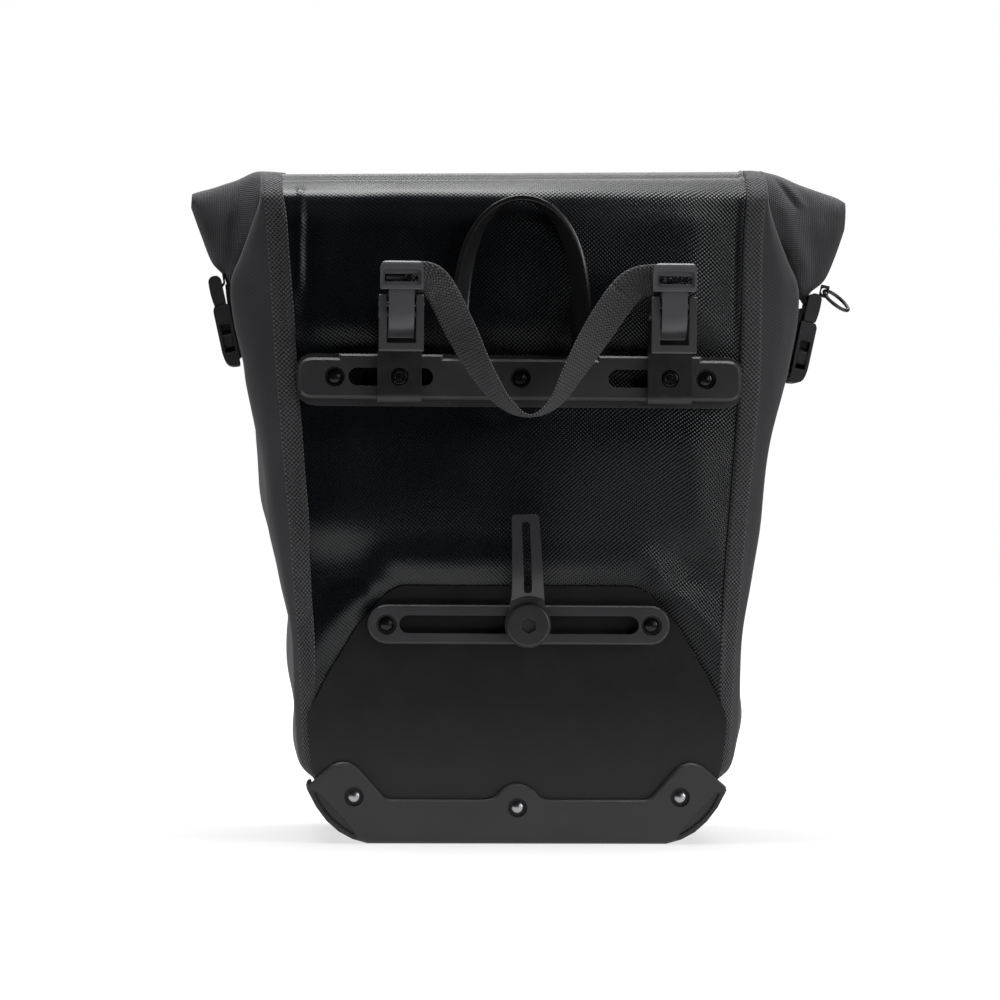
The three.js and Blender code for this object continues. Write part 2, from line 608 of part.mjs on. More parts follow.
function addUpperRail() {
  const corner = 9;
  const faceLow = RAIL_LOW_Z + 4.5;
  const faceHigh = RAIL_HIGH_Z - 2.4;
  const flange = roundedOutline([
    [-RAIL_HALF, RAIL_LOW_Z, 13], [RAIL_HALF, RAIL_LOW_Z, 13],
    [RAIL_HALF, RAIL_HIGH_Z, 11], [-RAIL_HALF, RAIL_HIGH_Z, 11],
  ]);
  const face = roundedOutline([
    [-RAIL_HALF + 1, faceLow, corner], [RAIL_HALF - 1, faceLow, corner],
    [RAIL_HALF - 1, faceHigh, corner], [-RAIL_HALF + 1, faceHigh, corner],
  ]);
  const parts = [
    prismY(flange, RAIL_FLANGE_Y, RAIL_BACK_Y, 4),
    bevelledPrismY(face, RAIL_FRONT_Y, RAIL_BACK_Y - 1, 1.7, 4),
    ...[-1, 1].map((side) => {
      const [x0, x1] = [side * 48, side * 113].sort((a, b) => a - b);
      const step = new THREE.Shape([
        [x0, SLOT_Z], [x1, SLOT_Z], [x1, RAIL_HIGH_Z], [x0, RAIL_HIGH_Z],
      ].map(([x, z]) => new THREE.Vector2(x, z)));
      return bevelledPrismY(step, RAIL_FRONT_Y, RAIL_BACK_Y - 1, 1.4, 3);
    }),
  ];
  const wallY = RAIL_FRONT_Y + RAIL_WALL;
  const cuts = [-1, 1].flatMap((side) => {
    const near = side * SLOT_NEAR_X;
    const far = side * SLOT_FAR_X;
    const [x0, x1] = [near, far].sort((a, b) => a - b);
    const slot = prismY(stadium(x0, x1, SLOT_Z, SLOT_RADIUS), -110, wallY + 1, 5);
    return [slot, box(x0 - 1, x1 + 1, wallY, -80, SLOT_Z - 9, SLOT_Z + 9)];
  });
  const seatY = RAIL_FRONT_Y + 2.9;
  const pockets = RAIL_SCREW_X.map((x) => screwPocket(x, SLOT_Z, RAIL_FRONT_Y, seatY));
  addPiece('upper_rail', cut(join(...parts), ...cuts, ...pockets), 'moulded');
  ['left', 'middle', 'right'].forEach((side, i) => {
    addScrew(`upper_rail_screw_${side}`, `upper_rail_nut_${side}`, RAIL_SCREW_X[i], SLOT_Z, seatY);
  });
}

function addLowerRail() {
  const outline = stadium(-LOWER_RAIL_HALF, LOWER_RAIL_HALF, LOWER_RAIL_Z, LOWER_RAIL_RADIUS);
  const body = bevelledPrismY(outline, LOWER_RAIL_FRONT_Y, LOWER_RAIL_BACK_Y, 1, 7);
  const wallY = LOWER_RAIL_FRONT_Y + RAIL_WALL;
  const slotOutline = stadium(-LOWER_SLOT_HALF, LOWER_SLOT_HALF, LOWER_RAIL_Z, SLOT_RADIUS);
  const slot = prismY(slotOutline, -110, wallY + 1, 5);
  const channel = box(-75, 75, wallY, -80, LOWER_RAIL_Z - 8.3, LOWER_RAIL_Z + 8.3);
  const seatY = LOWER_RAIL_FRONT_Y + 3;
  const ends = [['left', -LOWER_SCREW_X], ['right', LOWER_SCREW_X]];
  const pockets = ends.map(([, x]) => screwPocket(x, LOWER_RAIL_Z, LOWER_RAIL_FRONT_Y, seatY));
  addPiece('lower_rail', cut(body, slot, channel, ...pockets), 'moulded');
  ends.forEach(([side, x]) => {
    addScrew(`lower_rail_screw_${side}`, `lower_rail_nut_${side}`, x, LOWER_RAIL_Z, seatY);
  });
}

// Arched strap handle standing on the upper rail; its front edge lies outside its rear edge.
function addCarryHandle() {
  const stations = [];
  const steps = 20;
  const footZ = RAIL_HIGH_Z;
  for (let i = 0; i <= steps; i++) {
    const t = (i / steps) * 2 - 1;
    const angle = (t * Math.PI) / 2;
    const rise = Math.cos(angle) ** 0.62;
    const front = new THREE.Vector3(43 * Math.sin(angle), -93 - 13 * rise, footZ + 97.1 * rise);
    const rear = new THREE.Vector3(33 * Math.sin(angle), -87.2, footZ + 97.6 * rise);
    const across = rear.clone().sub(front);
    stations.push({ front, rear, across });
  }
  const faces = [1, -1].map((side) => stations.map(({ front, rear, across }, i) => {
    const before = stations[Math.max(i - 1, 0)].front;
    const after = stations[Math.min(i + 1, steps)].front;
    const thin = after.clone().sub(before).cross(across).setLength((side * 3.2) / 2);
    return [front.clone().add(thin), rear.clone().add(thin)];
  }));
  const floor = box(-60, 60, -120, -80, 290, RAIL_HIGH_Z + GAP);
  addPiece('carry_handle', cut(sheetSolid(faces[0], faces[1]), floor), 'webbing');
}

// ---------------------------------------------------------------- hooks
// One hook assembly around x = 0: body, clamp bolt and nut, hinge pin and release lever.
function addHook(side, x) {
  const hook = new THREE.Group();
  hook.name = `${side}_hook_assembly`;
  hook.position.x = x;
  bag.add(hook);
  addPiece(`${side}_hook_body`, hookBody(), 'moulded', hook);
  addPiece(`${side}_hook_bolt`, clampBolt(), 'blackSteel', hook);
  const nut = box(-6.8, 6.8, -90.9, -87.4, SLOT_Z - 7, SLOT_Z + 7);
  addPiece(`${side}_hook_nut`, cut(nut, rodY(2.8, -95, -80, 0, SLOT_Z, 14)), 'blackSteel', hook);
  const pin = rodX(PIN_RADIUS, -HOOK_HALF - 0.4, HOOK_HALF + 0.4, PIN_Y, PIN_Z, 14);
  addPiece(`${side}_lever_pin`, pin, 'steel', hook);
  addPiece(`${side}_release_lever`, releaseLever(), 'moulded', hook);
}

function hookBody() {
  const profile = new THREE.Shape();
  profile.moveTo(-92.2, HOOK_LOW_Z);
  profile.lineTo(-92.2, RAIL_LOW_Z + 4.1);
  profile.lineTo(HOOK_BACK_Y, RAIL_LOW_Z + 4.1);
  profile.lineTo(HOOK_BACK_Y, RAIL_HIGH_Z + 0.4);
  profile.lineTo(-89.5, RAIL_HIGH_Z + 0.4);
  profile.lineTo(-89.5, RAIL_HIGH_Z + 4);
  profile.lineTo(HOOK_BACK_Y, RAIL_HIGH_Z + 6.5);
  profile.lineTo(HOOK_BACK_Y, HOOK_TOP_Z - 6);
  profile.quadraticCurveTo(HOOK_BACK_Y, HOOK_TOP_Z, HOOK_BACK_Y - 6, HOOK_TOP_Z);
  profile.lineTo(LIP_FRONT_Y + 2, HOOK_TOP_Z);
  profile.quadraticCurveTo(LIP_FRONT_Y, HOOK_TOP_Z, LIP_FRONT_Y, HOOK_TOP_Z - 2);
  profile.lineTo(LIP_FRONT_Y, LIP_LOW_Z + 1);
  profile.lineTo(LIP_FRONT_Y + 1, LIP_LOW_Z);
  profile.lineTo(LIP_BACK_Y - 1, LIP_LOW_Z);
  profile.lineTo(LIP_BACK_Y, LIP_LOW_Z + 2);
  profile.lineTo(LIP_BACK_Y, SEAT_Z - 6);
  profile.quadraticCurveTo(LIP_BACK_Y, SEAT_Z, LIP_BACK_Y + 6, SEAT_Z);
  profile.lineTo(HOOK_PLATE_Y - 6, SEAT_Z);
  profile.quadraticCurveTo(HOOK_PLATE_Y, SEAT_Z, HOOK_PLATE_Y, SEAT_Z - 6);
  profile.lineTo(HOOK_PLATE_Y, 280);
  profile.quadraticCurveTo(HOOK_PLATE_Y, 276, -95.6, HOOK_LOW_Z);
  profile.closePath();
  const solid = prismX(profile, -HOOK_HALF, HOOK_HALF, 4);
  const window = box(-FORK_HALF, FORK_HALF, -130, -113, LIP_BAR_Z, 350);
  const recess = rodY(5.6, -110, HOOK_PLATE_Y + 2.2, 0, SLOT_Z, 20);
  const boltHole = rodY(2.8, -110, -80, 0, SLOT_Z, 14);
  const pinHole = rodX(PIN_RADIUS + GAP, -20, 20, PIN_Y, PIN_Z, 14);
  return cut(solid, window, recess, boltHole, pinHole);
}

function clampBolt() {
  return turnedY([
    [0, -98.2], [2, -98.2], [2, -97.1], [2.6, -98.4], [4.4, -98.4], [4.9, -97.9], [4.9, -96.7],
    [2.5, -96.7], [2.5, -88], [0, -88],
  ], 0, SLOT_Z, 18);
}

// Lever with a strap slot in its head and a curved tongue that closes the jaw from below.
function releaseLever() {
  const head = roundedOutline([
    [-129.6, HEAD_LOW_Z, 1], [-121.6, HEAD_LOW_Z, 1], [-123, HEAD_TOP_Z, 2.5], [-129.6, HEAD_TOP_Z, 2.5],
  ]);
  const tongue = new THREE.Shape();
  tongue.moveTo(-126.8, 344);
  tongue.lineTo(-121.6, 344);
  tongue.quadraticCurveTo(-116.4, 340, -116.3, 333.3);
  tongue.quadraticCurveTo(-116.6, 321, -109.8, 315.6);
  tongue.lineTo(-110.2, 313.2);
  tongue.quadraticCurveTo(-122, 313, -124.9, 326);
  tongue.quadraticCurveTo(-126.6, 335, -126.8, 344);
  const slotHalf = STRAP_WIDTH / 2 + 0.6;
  const outline = roundedOutline([
    [-HEAD_HALF, HEAD_LOW_Z, 1], [HEAD_HALF, HEAD_LOW_Z, 1],
    [HEAD_HALF, HEAD_TOP_Z, 4.5], [-HEAD_HALF, HEAD_TOP_Z, 4.5],
  ]);
  const dish = roundedOutline([[-11.9, 345, 2], [11.9, 345, 2], [11.9, 354.6, 3], [-11.9, 354.6, 3]]);
  const block = common(prismX(head, -HEAD_HALF, HEAD_HALF, 3), prismY(outline, -135, -115, 4));
  return cut(
    join(block, prismX(tongue, -TONGUE_HALF, TONGUE_HALF, 6)),
    box(-slotHalf, slotHalf, -140, -110, 347, 352),
    prismY(dish, -140, -128.7, 3),
    rodX(PIN_RADIUS + GAP, -20, 20, PIN_Y, PIN_Z, 14),
  );
}

// Webbing from one lever head to the other: flat at the heads, edge-on in the middle.
function addPullStrap() {
  const route = [
    [[HOOK_LEFT_X, -128.5, 349.5], [1, 0, 0]],
    [[HOOK_LEFT_X, -122.2, 349.5], [1, 0, 0]],
    [[HOOK_LEFT_X + 6, -118.4, 350], [0.8, 0, 0.5]],
    [[HOOK_LEFT_X + 17, -118, 349.5], [0.2, 0, 1]],
    [[-50.5, -119, 341], [0.75, 0, 0.6]],
    [[-38.9, -118.5, 318.3], [0.95, -0.3, 0.4]],
    [[-26, -117.5, 293.7], [0.75, -0.8, 0.35]],
    [[-11.5, -116.2, 274], [0.3, -1, 0.25]],
    [[4.2, -115.5, 265.6], [0, -1, 0]],
    [[19.6, -116.2, 274], [-0.3, -1, 0.25]],
    [[31.5, -117.5, 293.7], [-0.75, -0.8, 0.35]],
    [[46, -118.5, 318.3], [-0.95, -0.3, 0.4]],
    [[61.5, -119, 341], [-0.75, 0, 0.6]],
    [[HOOK_RIGHT_X - 21, -118, 348.6], [-0.2, 0, 1]],
    [[HOOK_RIGHT_X - 6, -118.4, 350], [-0.8, 0, 0.5]],
    [[HOOK_RIGHT_X, -122.2, 349.5], [-1, 0, 0]],
    [[HOOK_RIGHT_X, -128.5, 349.5], [-1, 0, 0]],
  ];
  const centre = new THREE.CatmullRomCurve3(route.map(([at]) => new THREE.Vector3(...at)));
  const width = new THREE.CatmullRomCurve3(route.map(([, across]) => new THREE.Vector3(...across)));
  const steps = 2 * (route.length - 1);
  const stations = Array.from({ length: steps + 1 }, (_, i) => ({
    at: centre.getPoint(i / steps),
    across: width.getPoint(i / steps),
  }));
  addPiece('pull_strap', ribbon(stations, STRAP_WIDTH, STRAP_THICK), 'webbing');
}

// ---------------------------------------------------------------- anchor on the lower rail
function addAnchor() {
  const anchor = new THREE.Group();
  anchor.name = 'anchor_assembly';
  anchor.position.set(ANCHOR_X, 0, LOWER_RAIL_Z);
  bag.add(anchor);
  const arm = addPiece('anchor_arm', anchorArm(), 'moulded', anchor);
  arm.rotation.y = -ANCHOR_LEAN;
  addPiece('anchor_bolt', anchorBolt(), 'blackSteel', anchor);
  const nut = box(-6.8, 6.8, -92.3, -88.4, -7.7, 7.7);
  addPiece('anchor_nut', cut(nut, rodY(3.3, -100, -80, 0, 0, 16)), 'blackSteel', anchor);
}

function anchorArm() {
  const profile = new THREE.Shape();
  profile.moveTo(-96, 8);
  profile.lineTo(-96, 15.5);
  profile.quadraticCurveTo(-107.6, 22, -108.3, 36);
  profile.quadraticCurveTo(-109, 52, -106.4, 68.7);
  profile.lineTo(-110.6, 68.7);
  profile.quadraticCurveTo(-113.4, 52, -113, 36);
  profile.quadraticCurveTo(-112.5, 21, -103.5, 13.9);
  profile.lineTo(-100, 13.9);
  profile.lineTo(-100, 8);
  profile.closePath();
  const face = roundedOutline([
    [-12, 4, 0], [12, 4, 0], [9.8, 20, 3], [8.3, 69, 3.2], [-8.3, 69, 3.2], [-9.8, 20, 3],
  ]);
  const arm = common(prismX(profile, -15, 15, 6), prismY(face, -120, -90, 3));
  const longSlot = roundedOutline([[-2.5, 20, 2], [2.5, 20, 2], [2.5, 64, 2], [-2.5, 64, 2]]);
  const disc = rodY(ANCHOR_DISC, -100, -96, 0, 0, 32);
  const arch = rodY(ARCH_RADIUS, -120, -100, 0, 0, 36);
  return cut(join(arm, disc), arch, prismY(longSlot, -120, -90, 4), rodY(3.3, -120, -90, 0, 0, 16));
}

function anchorBolt() {
  const body = turnedY([
    [0, -103.2], [12.4, -103.2], [ANCHOR_HEAD, -102.4], [ANCHOR_HEAD, -100.3], [3, -100.3],
    [3, -89], [0, -89],
  ], 0, 0, 32);
  const socket = new THREE.CylinderGeometry(5.2, 5.2, 4, 6);
  socket.translate(0, -103.2, 0);
  return cut(body, socket);
}

// ---------------------------------------------------------------- buckles and side straps
// One side release buckle around its own axis: +Z towards the roll end, X is its thickness.
function addBuckle(side, top, tilt, outer, tabTop) {
  const buckle = new THREE.Group();
  buckle.name = `${side}_buckle_assembly`;
  buckle.position.copy(top);
  buckle.rotation.y = tilt;
  bag.add(buckle);
  addPiece(`${side}_buckle_male`, buckleMale(outer), 'moulded', buckle);
  addPiece(`${side}_buckle_female`, buckleFemale(outer), 'moulded', buckle);
  addPiece(`${side}_buckle_tab`, buckleTab(outer, tabTop), 'webbing', buckle);
  return buckle;
}

function buckleMale(outer) {
  const wide = BUCKLE_WIDTH / 2;
  const side = roundedOutline([
    [-3.9, -MALE_LENGTH, 0.3], [3.6, -MALE_LENGTH, 0.8], [4.7, -MALE_LENGTH * 0.6, 4],
    [4.4, -2.2, 1.4], [2.2, 0, 1.4], [-1.6, 0, 1.2], [-3.9, -2.4, 1.6],
  ].map(([x, z, radius]) => [outer * x, z, radius]));
  const body = prismY(side, -wide, wide, 3);
  const slot = box(-20, 20, -10.6, 10.6, -8.5, -4);
  const low = -MALE_LENGTH - PRONG_LENGTH;
  const root = -MALE_LENGTH + 1;
  const prongs = [-1, 1].map((k) => {
    const outline = new THREE.Shape([
      [5, root], [9.5, root], [9.5, low + 12], [13, low + 9], [12.6, low + 2], [8, low], [6.5, low + 8],
    ].map(([y, z]) => new THREE.Vector2(k * y, z)));
    return prismX(outline, -PRONG_HALF, PRONG_HALF);
  });
  return join(cut(body, slot), ...prongs);
}

function buckleFemale(outer) {
  const half = BUCKLE_THICK / 2;
  const wide = BUCKLE_WIDTH / 2;
  const top = -MALE_LENGTH - 0.5;
  const low = top - FEMALE_LENGTH;
  const side = roundedOutline([
    [-half + 0.6, low, 1], [half - 1.5, low, 6], [half, low + 10, 2],
    [half, top - 2.4, 1], [half - 1.4, top, 0.6], [-half, top, 0.6],
  ].map(([x, z, radius]) => [outer * x, z, radius]));
  const hollows = [-1, 1].flatMap((k) => {
    const [cavity0, cavity1] = [k * CORE_HALF, k * 10.8].sort((a, b) => a - b);
    const [window0, window1] = [k * CORE_HALF, k * 20].sort((a, b) => a - b);
    return [
      box(-PRONG_HALF - GAP, PRONG_HALF + GAP, cavity0, cavity1, low + 9.4, top + 5),
      box(-PRONG_HALF - GAP, PRONG_HALF + GAP, window0, window1, low + 9.4, low + 27.5),
    ];
  });
  const strapSlot = box(-20, 20, -10.6, 10.6, low + 3, low + 6.5);
  return cut(prismY(side, -wide, wide, 4), ...hollows, strapSlot);
}

// Webbing in the plane of the buckles, given by its X and Z stations.
function flatWebbing(points, y, width, thickness) {
  const across = new THREE.Vector3(0, 1, 0);
  const stations = points.map(([x, z]) => ({ at: new THREE.Vector3(x, y, z), across }));
  return ribbon(stations, width, thickness);
}

// Webbing from the roll end, down the inner side and through the bar slot of the male buckle.
function buckleTab(outer, tabTop) {
  const points = [[-5.9, tabTop], [-5.5, -5], [-4.2, -6.3], [3, -6.3]];
  return flatWebbing(points.map(([x, z]) => [outer * x, z]), 0, 19.5, 1.2);
}

// Wire ring that hangs from a small loop beside the right male buckle.
function addRing(buckle) {
  const loop = box(RING_LOOP_X - 2.7, RING_LOOP_X + 2.7, -2, 2, RING_LOOP_Z - 3.9, RING_LOOP_Z + 3.9);
  addPiece('ring_loop', cut(loop, rodY(2.2, -5, 5, RING_LOOP_X, RING_LOOP_Z, 16)), 'webbing', buckle);
  buckle.updateMatrixWorld(true);
  const hang = buckle.localToWorld(new THREE.Vector3(RING_LOOP_X, 0, RING_LOOP_Z));
  const down = new THREE.Vector3(0.8, 0, -0.6);
  const sideways = new THREE.Vector3(0, 1, 0).applyAxisAngle(down, RING_TWIST);
  const axis = new THREE.Vector3().crossVectors(down, sideways);
  const torus = new THREE.TorusGeometry(RING_RADIUS, RING_WIRE, 8, 32);
  torus.applyMatrix4(new THREE.Matrix4().makeBasis(down, sideways, axis));
  const ring = addPiece('ring', torus, 'moulded');
  ring.position.copy(hang).addScaledVector(down, RING_RADIUS);
}

function addBuckles() {
  addBuckle('left', LEFT_BUCKLE_TOP, THREE.MathUtils.degToRad(-12.6), -1, 1);
  const ringed = addBuckle('right', RIGHT_BUCKLE_TOP, THREE.MathUtils.degToRad(12), 1, -3.4);
  addRing(ringed);
  const left = [
    [-181.3, 301], [-176.6, 302.1], [-173.9, 303.4], [-173.2, 307], [-174.4, 311.5], [-181.2, 340.5],
    [-182.4, 349.5],
  ];
  addPiece('side_strap_left', flatWebbing(left, BUCKLE_Y, STRAP_WIDTH, 1.5), 'webbing');
  const right = [
    [183, 293.4], [178.3, 294.4], [175.6, 295.5], [174.8, 299], [176, 303.8], [182.5, 333.5], [183, 337],
  ];
  addPiece('side_strap_right', flatWebbing(right, BUCKLE_Y, STRAP_WIDTH, 1.5), 'webbing');
}

addBody();
addRoll();
addStiffening();
addProtector();
addUpperRail();
addCarryHandle();
addLowerRail();
addHook('left', HOOK_LEFT_X);
addHook('right', HOOK_RIGHT_X);
addPullStrap();
addAnchor();
addBuckles();

export default bag;
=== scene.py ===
import json
import math

import bmesh
import bpy
import numpy as np
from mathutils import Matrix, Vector


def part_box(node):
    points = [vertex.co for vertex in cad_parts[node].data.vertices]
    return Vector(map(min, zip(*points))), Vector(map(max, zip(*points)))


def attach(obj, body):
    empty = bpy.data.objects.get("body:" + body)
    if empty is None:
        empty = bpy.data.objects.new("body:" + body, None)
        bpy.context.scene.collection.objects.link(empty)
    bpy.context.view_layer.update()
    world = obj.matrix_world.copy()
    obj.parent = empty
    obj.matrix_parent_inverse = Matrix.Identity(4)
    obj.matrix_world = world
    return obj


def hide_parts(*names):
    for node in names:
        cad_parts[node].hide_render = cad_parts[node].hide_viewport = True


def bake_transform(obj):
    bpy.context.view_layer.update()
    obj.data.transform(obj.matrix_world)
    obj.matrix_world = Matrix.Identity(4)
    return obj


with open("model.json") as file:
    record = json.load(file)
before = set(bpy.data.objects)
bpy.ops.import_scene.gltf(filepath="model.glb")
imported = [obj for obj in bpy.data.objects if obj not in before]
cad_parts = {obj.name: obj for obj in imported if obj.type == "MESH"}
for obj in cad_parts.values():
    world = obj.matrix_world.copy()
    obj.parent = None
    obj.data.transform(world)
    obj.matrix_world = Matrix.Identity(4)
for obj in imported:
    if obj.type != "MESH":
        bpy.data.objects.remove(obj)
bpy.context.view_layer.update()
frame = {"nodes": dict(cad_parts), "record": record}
MM = 0.001
NODES = frame["nodes"]
# sockets of a mix node that mixes colours
COLOUR_A, COLOUR_B, COLOUR_OUT = 6, 7, 2


# ------------------------------------------------------------------ node graph helpers
class Graph:
    """Short ways to build a node material."""

    def __init__(self, name):
        self.mat = bpy.data.materials.new(name)
        self.mat.use_nodes = True
        self.tree = self.mat.node_tree
        self.tree.nodes.clear()
        self.out = self.tree.nodes.new("ShaderNodeOutputMaterial")
        self.bsdf = self.tree.nodes.new("ShaderNodeBsdfPrincipled")
        self.tree.links.new(self.bsdf.outputs[0], self.out.inputs["Surface"])

    def node(self, kind, **settings):
        n = self.tree.nodes.new(kind)
        for key, value in settings.items():
            setattr(n, key, value)
        return n

    def put(self, value, socket):
        if isinstance(value, bpy.types.NodeSocket):
            self.tree.links.new(value, socket)
        else:
            socket.default_value = value

    def math(self, op, a, b=0.0, c=0.0):
        n = self.node("ShaderNodeMath", operation=op)
        self.put(a, n.inputs[0])
        self.put(b, n.inputs[1])
        self.put(c, n.inputs[2])
        return n.outputs[0]

    def mix(self, factor, low, high):
        """Number between low and high."""
        n = self.node("ShaderNodeMapRange")
        self.put(factor, n.inputs["Value"])
        self.put(low, n.inputs["To Min"])
        self.put(high, n.inputs["To Max"])
        return n.outputs[0]

    def ramp(self, value, low, high):
        """0 at low, 1 at high, smooth between."""
        n = self.node("ShaderNodeMapRange", interpolation_type="SMOOTHSTEP")
        self.put(value, n.inputs["Value"])
        self.put(low, n.inputs["From Min"])
        self.put(high, n.inputs["From Max"])
        return n.outputs[0]

    def colour(self, factor, first, second):
        """Colour between first and second; first may come from another node."""
        n = self.node("ShaderNodeMix", data_type="RGBA")
        self.put(factor, n.inputs["Factor"])
        self.put(first if isinstance(first, bpy.types.NodeSocket) else (*first, 1), n.inputs[COLOUR_A])
        self.put((*second, 1), n.inputs[COLOUR_B])
        return n.outputs[COLOUR_OUT]

    def noise(self, vector, scale, detail=2.0, roughness=0.5):
        n = self.node("ShaderNodeTexNoise")
        self.put(vector, n.inputs["Vector"])
        n.inputs["Scale"].default_value = scale
        n.inputs["Detail"].default_value = detail
        n.inputs["Roughness"].default_value = roughness
        return n.outputs["Fac"]

    def place(self):
        """Position on the part, in metres."""
        return self.node("ShaderNodeTexCoord").outputs["Object"]

    def axes(self, vector):
        """The x, y and z of a vector."""
        n = self.node("ShaderNodeSeparateXYZ")
        self.put(vector, n.inputs[0])
        return tuple(n.outputs)

    def cloth(self):
        """Distances across and along the fabric, in metres."""
        uv = self.node("ShaderNodeUVMap", uv_map="cloth")
        return self.axes(uv.outputs[0])[:2]

    def wave(self, value, pitch):
        """Sine of value with the given pitch."""
        return self.math("SINE", self.math("MULTIPLY", value, 2 * math.pi / pitch))

    def bump(self, height, distance, strength):
        n = self.node("ShaderNodeBump")
        n.inputs["Distance"].default_value = distance
        n.inputs["Strength"].default_value = strength
        self.put(height, n.inputs["Height"])
        return n.outputs[0]

    def finish(self, colour, roughness, normal=None, metallic=0.0, **constants):
        """Connect the shader; constants are its other inputs, with _ for each space."""
        self.put(colour if isinstance(colour, bpy.types.NodeSocket) else (*colour, 1),
                 self.bsdf.inputs["Base Color"])
        self.put(roughness, self.bsdf.inputs["Roughness"])
        self.bsdf.inputs["Metallic"].default_value = metallic
        if normal is not None:
            self.put(normal, self.bsdf.inputs["Normal"])
        for name, value in constants.items():
            self.bsdf.inputs[name.replace("_", " ")].default_value = value
        return self.mat


# ------------------------------------------------------------------ materials
# weave pitches, in metres
COATED_PITCH = 0.0026
SIDE_PITCH = 0.0024
STRIP_PITCH = 0.0028
ROLL_END_PITCH = 0.0027
WEBBING_PITCH = 0.0024
WEBBING_RIB = 0.0021
# places on the part where a finish, a painted shade or a painted floor light changes, from none to full,
# in metres
COARSE_WEAVE_X = (-0.05, 0.13)
DULL_TOP_Z = (0.404, 0.411)
FORK_Y = (-0.116, -0.1205)
JAW_SHADE_Y = (-0.1165, -0.1135)
JAW_SHADE_Z = (0.3045, 0.3062)
RECESS_SHADE_Y = (-0.0899, -0.0881)
PLATE_FLOOR_LIGHT_Z = (0.106, 0.028)
# faces that look at the rack, by the y of their normal
FACING_RACK = (-0.6, -0.9)

PALE_NYLON = (0.062, 0.061, 0.066)
DARK_NYLON = (0.019, 0.0185, 0.0205)
PALE_PLASTIC = (0.0456, 0.045, 0.0486)
DARK_PLASTIC = (0.030, 0.030, 0.0318)
PLASTIC_GRAIN = 2600


def scaled(colour, factor):
    return tuple(factor * value for value in colour)


def gloss_tarpaulin():
    """Coated weave that shows most on the right, duller where it turns over the top."""
    g = Graph("gloss_tarpaulin")
    u, v = g.cloth()
    weave = g.math("MULTIPLY", g.wave(u, COATED_PITCH), g.wave(v, COATED_PITCH))
    place = g.place()
    x, _, z = g.axes(place)
    broad = g.noise(place, 28, 3)
    creases = g.noise(place, 75, 2, 0.6)
    raised = g.math("MULTIPLY_ADD", weave, 0.5, 0.5)
    coarse = g.ramp(x, *COARSE_WEAVE_X)
    relief = g.mix(coarse, 0.18, 0.82)
    height = g.math("ADD", g.math("MULTIPLY", weave, relief), g.math("MULTIPLY", creases, 0.8))
    tint = g.colour(raised, (0.0016, 0.002, 0.0029), (0.0055, 0.0068, 0.0092))
    gloss = g.math("SUBTRACT", 0.24, g.math("MULTIPLY", weave, g.mix(coarse, 0.05, 0.1)))
    rough = g.math("MULTIPLY_ADD", broad, 0.12, gloss)
    rough = g.math("MULTIPLY_ADD", g.ramp(z, *DULL_TOP_Z), 0.1, rough)
    return g.finish(tint, rough, g.bump(height, 0.00031, 0.9), Specular_IOR_Level=0.42)


def matte_fabric(name="matte_fabric", pitch=SIDE_PITCH, contrast=0.14, diagonal=False,
                 light=1.06, spread=1.0):
    """Dull woven nylon; contrast and spread say how plainly its weave shows."""
    g = Graph(name)
    u, v = g.cloth()
    if diagonal:
        u, v = g.math("ADD", u, v), g.math("SUBTRACT", u, v)
    weave = g.math("MULTIPLY", g.wave(u, pitch), g.wave(v, pitch))
    place = g.place()
    broad = g.noise(place, 22, 3)
    fibre = g.noise(place, 1400, 2)
    tone = g.math("ADD", g.math("MULTIPLY_ADD", weave, contrast, 0.3), g.math("MULTIPLY", broad, 0.4))
    tint = g.colour(tone, scaled(DARK_NYLON, light / spread), scaled(PALE_NYLON, light * spread))
    height = g.math("ADD", g.math("MULTIPLY", weave, 3 * contrast), g.math("MULTIPLY", fibre, 0.5))
    return g.finish(tint, 0.72, g.bump(height, 0.00016, 0.7), Sheen_Weight=0.12,
                    Sheen_Roughness=0.5, Specular_IOR_Level=0.35)


def webbing():
    """Ribs across the strap, broken up by the columns along it."""
    g = Graph("webbing")
    u, v = g.cloth()
    ribs = g.wave(v, WEBBING_RIB)
    weave = g.math("MULTIPLY", ribs, g.wave(u, WEBBING_PITCH))
    height = g.math("ADD", g.math("MULTIPLY", weave, 0.7), g.math("MULTIPLY", ribs, 0.35))
    paler_mask = g.noise(g.place(), 60, 3)
    tone = g.math("ADD", g.math("MULTIPLY_ADD", height, 0.6, 0.3), g.math("MULTIPLY", paler_mask, 0.3))
    tint = g.colour(tone, (0.009, 0.009, 0.0099), (0.092, 0.091, 0.097))
    return g.finish(tint, 0.6, g.bump(height, 0.0004, 0.9), Sheen_Weight=0.1,
                    Sheen_Roughness=0.4, Specular_IOR_Level=0.4)


def moulded(name="moulded_plastic", light=1.0, rough=0.38, shade_recesses=False):
    """Grained plastic; one made for recesses gets painted shade, near black, on the floors of its
    recesses.
    """
    g = Graph(name)
    place = g.place()
    grain = g.noise(place, PLASTIC_GRAIN, 3, 0.6)
    broad = g.noise(place, 40, 4)
    tint = g.colour(broad, scaled(DARK_PLASTIC, light), scaled(PALE_PLASTIC, light))
    if shade_recesses:
        # painted shade: recess floors that face the rack go near black
        normal = g.node("ShaderNodeNewGeometry").outputs["Normal"]
        floor = g.ramp(g.axes(normal)[1], *FACING_RACK)
        painted_recess_shade = g.math("MULTIPLY", g.ramp(g.axes(place)[1], *RECESS_SHADE_Y), floor)
        tint = g.colour(painted_recess_shade, tint, (0.0015, 0.0015, 0.0017))
    roughness = g.math("ADD", g.math("MULTIPLY", broad, 0.18), rough - 0.06)
    return g.finish(tint, roughness, g.bump(grain, 0.00004, 0.6), Specular_IOR_Level=0.45)


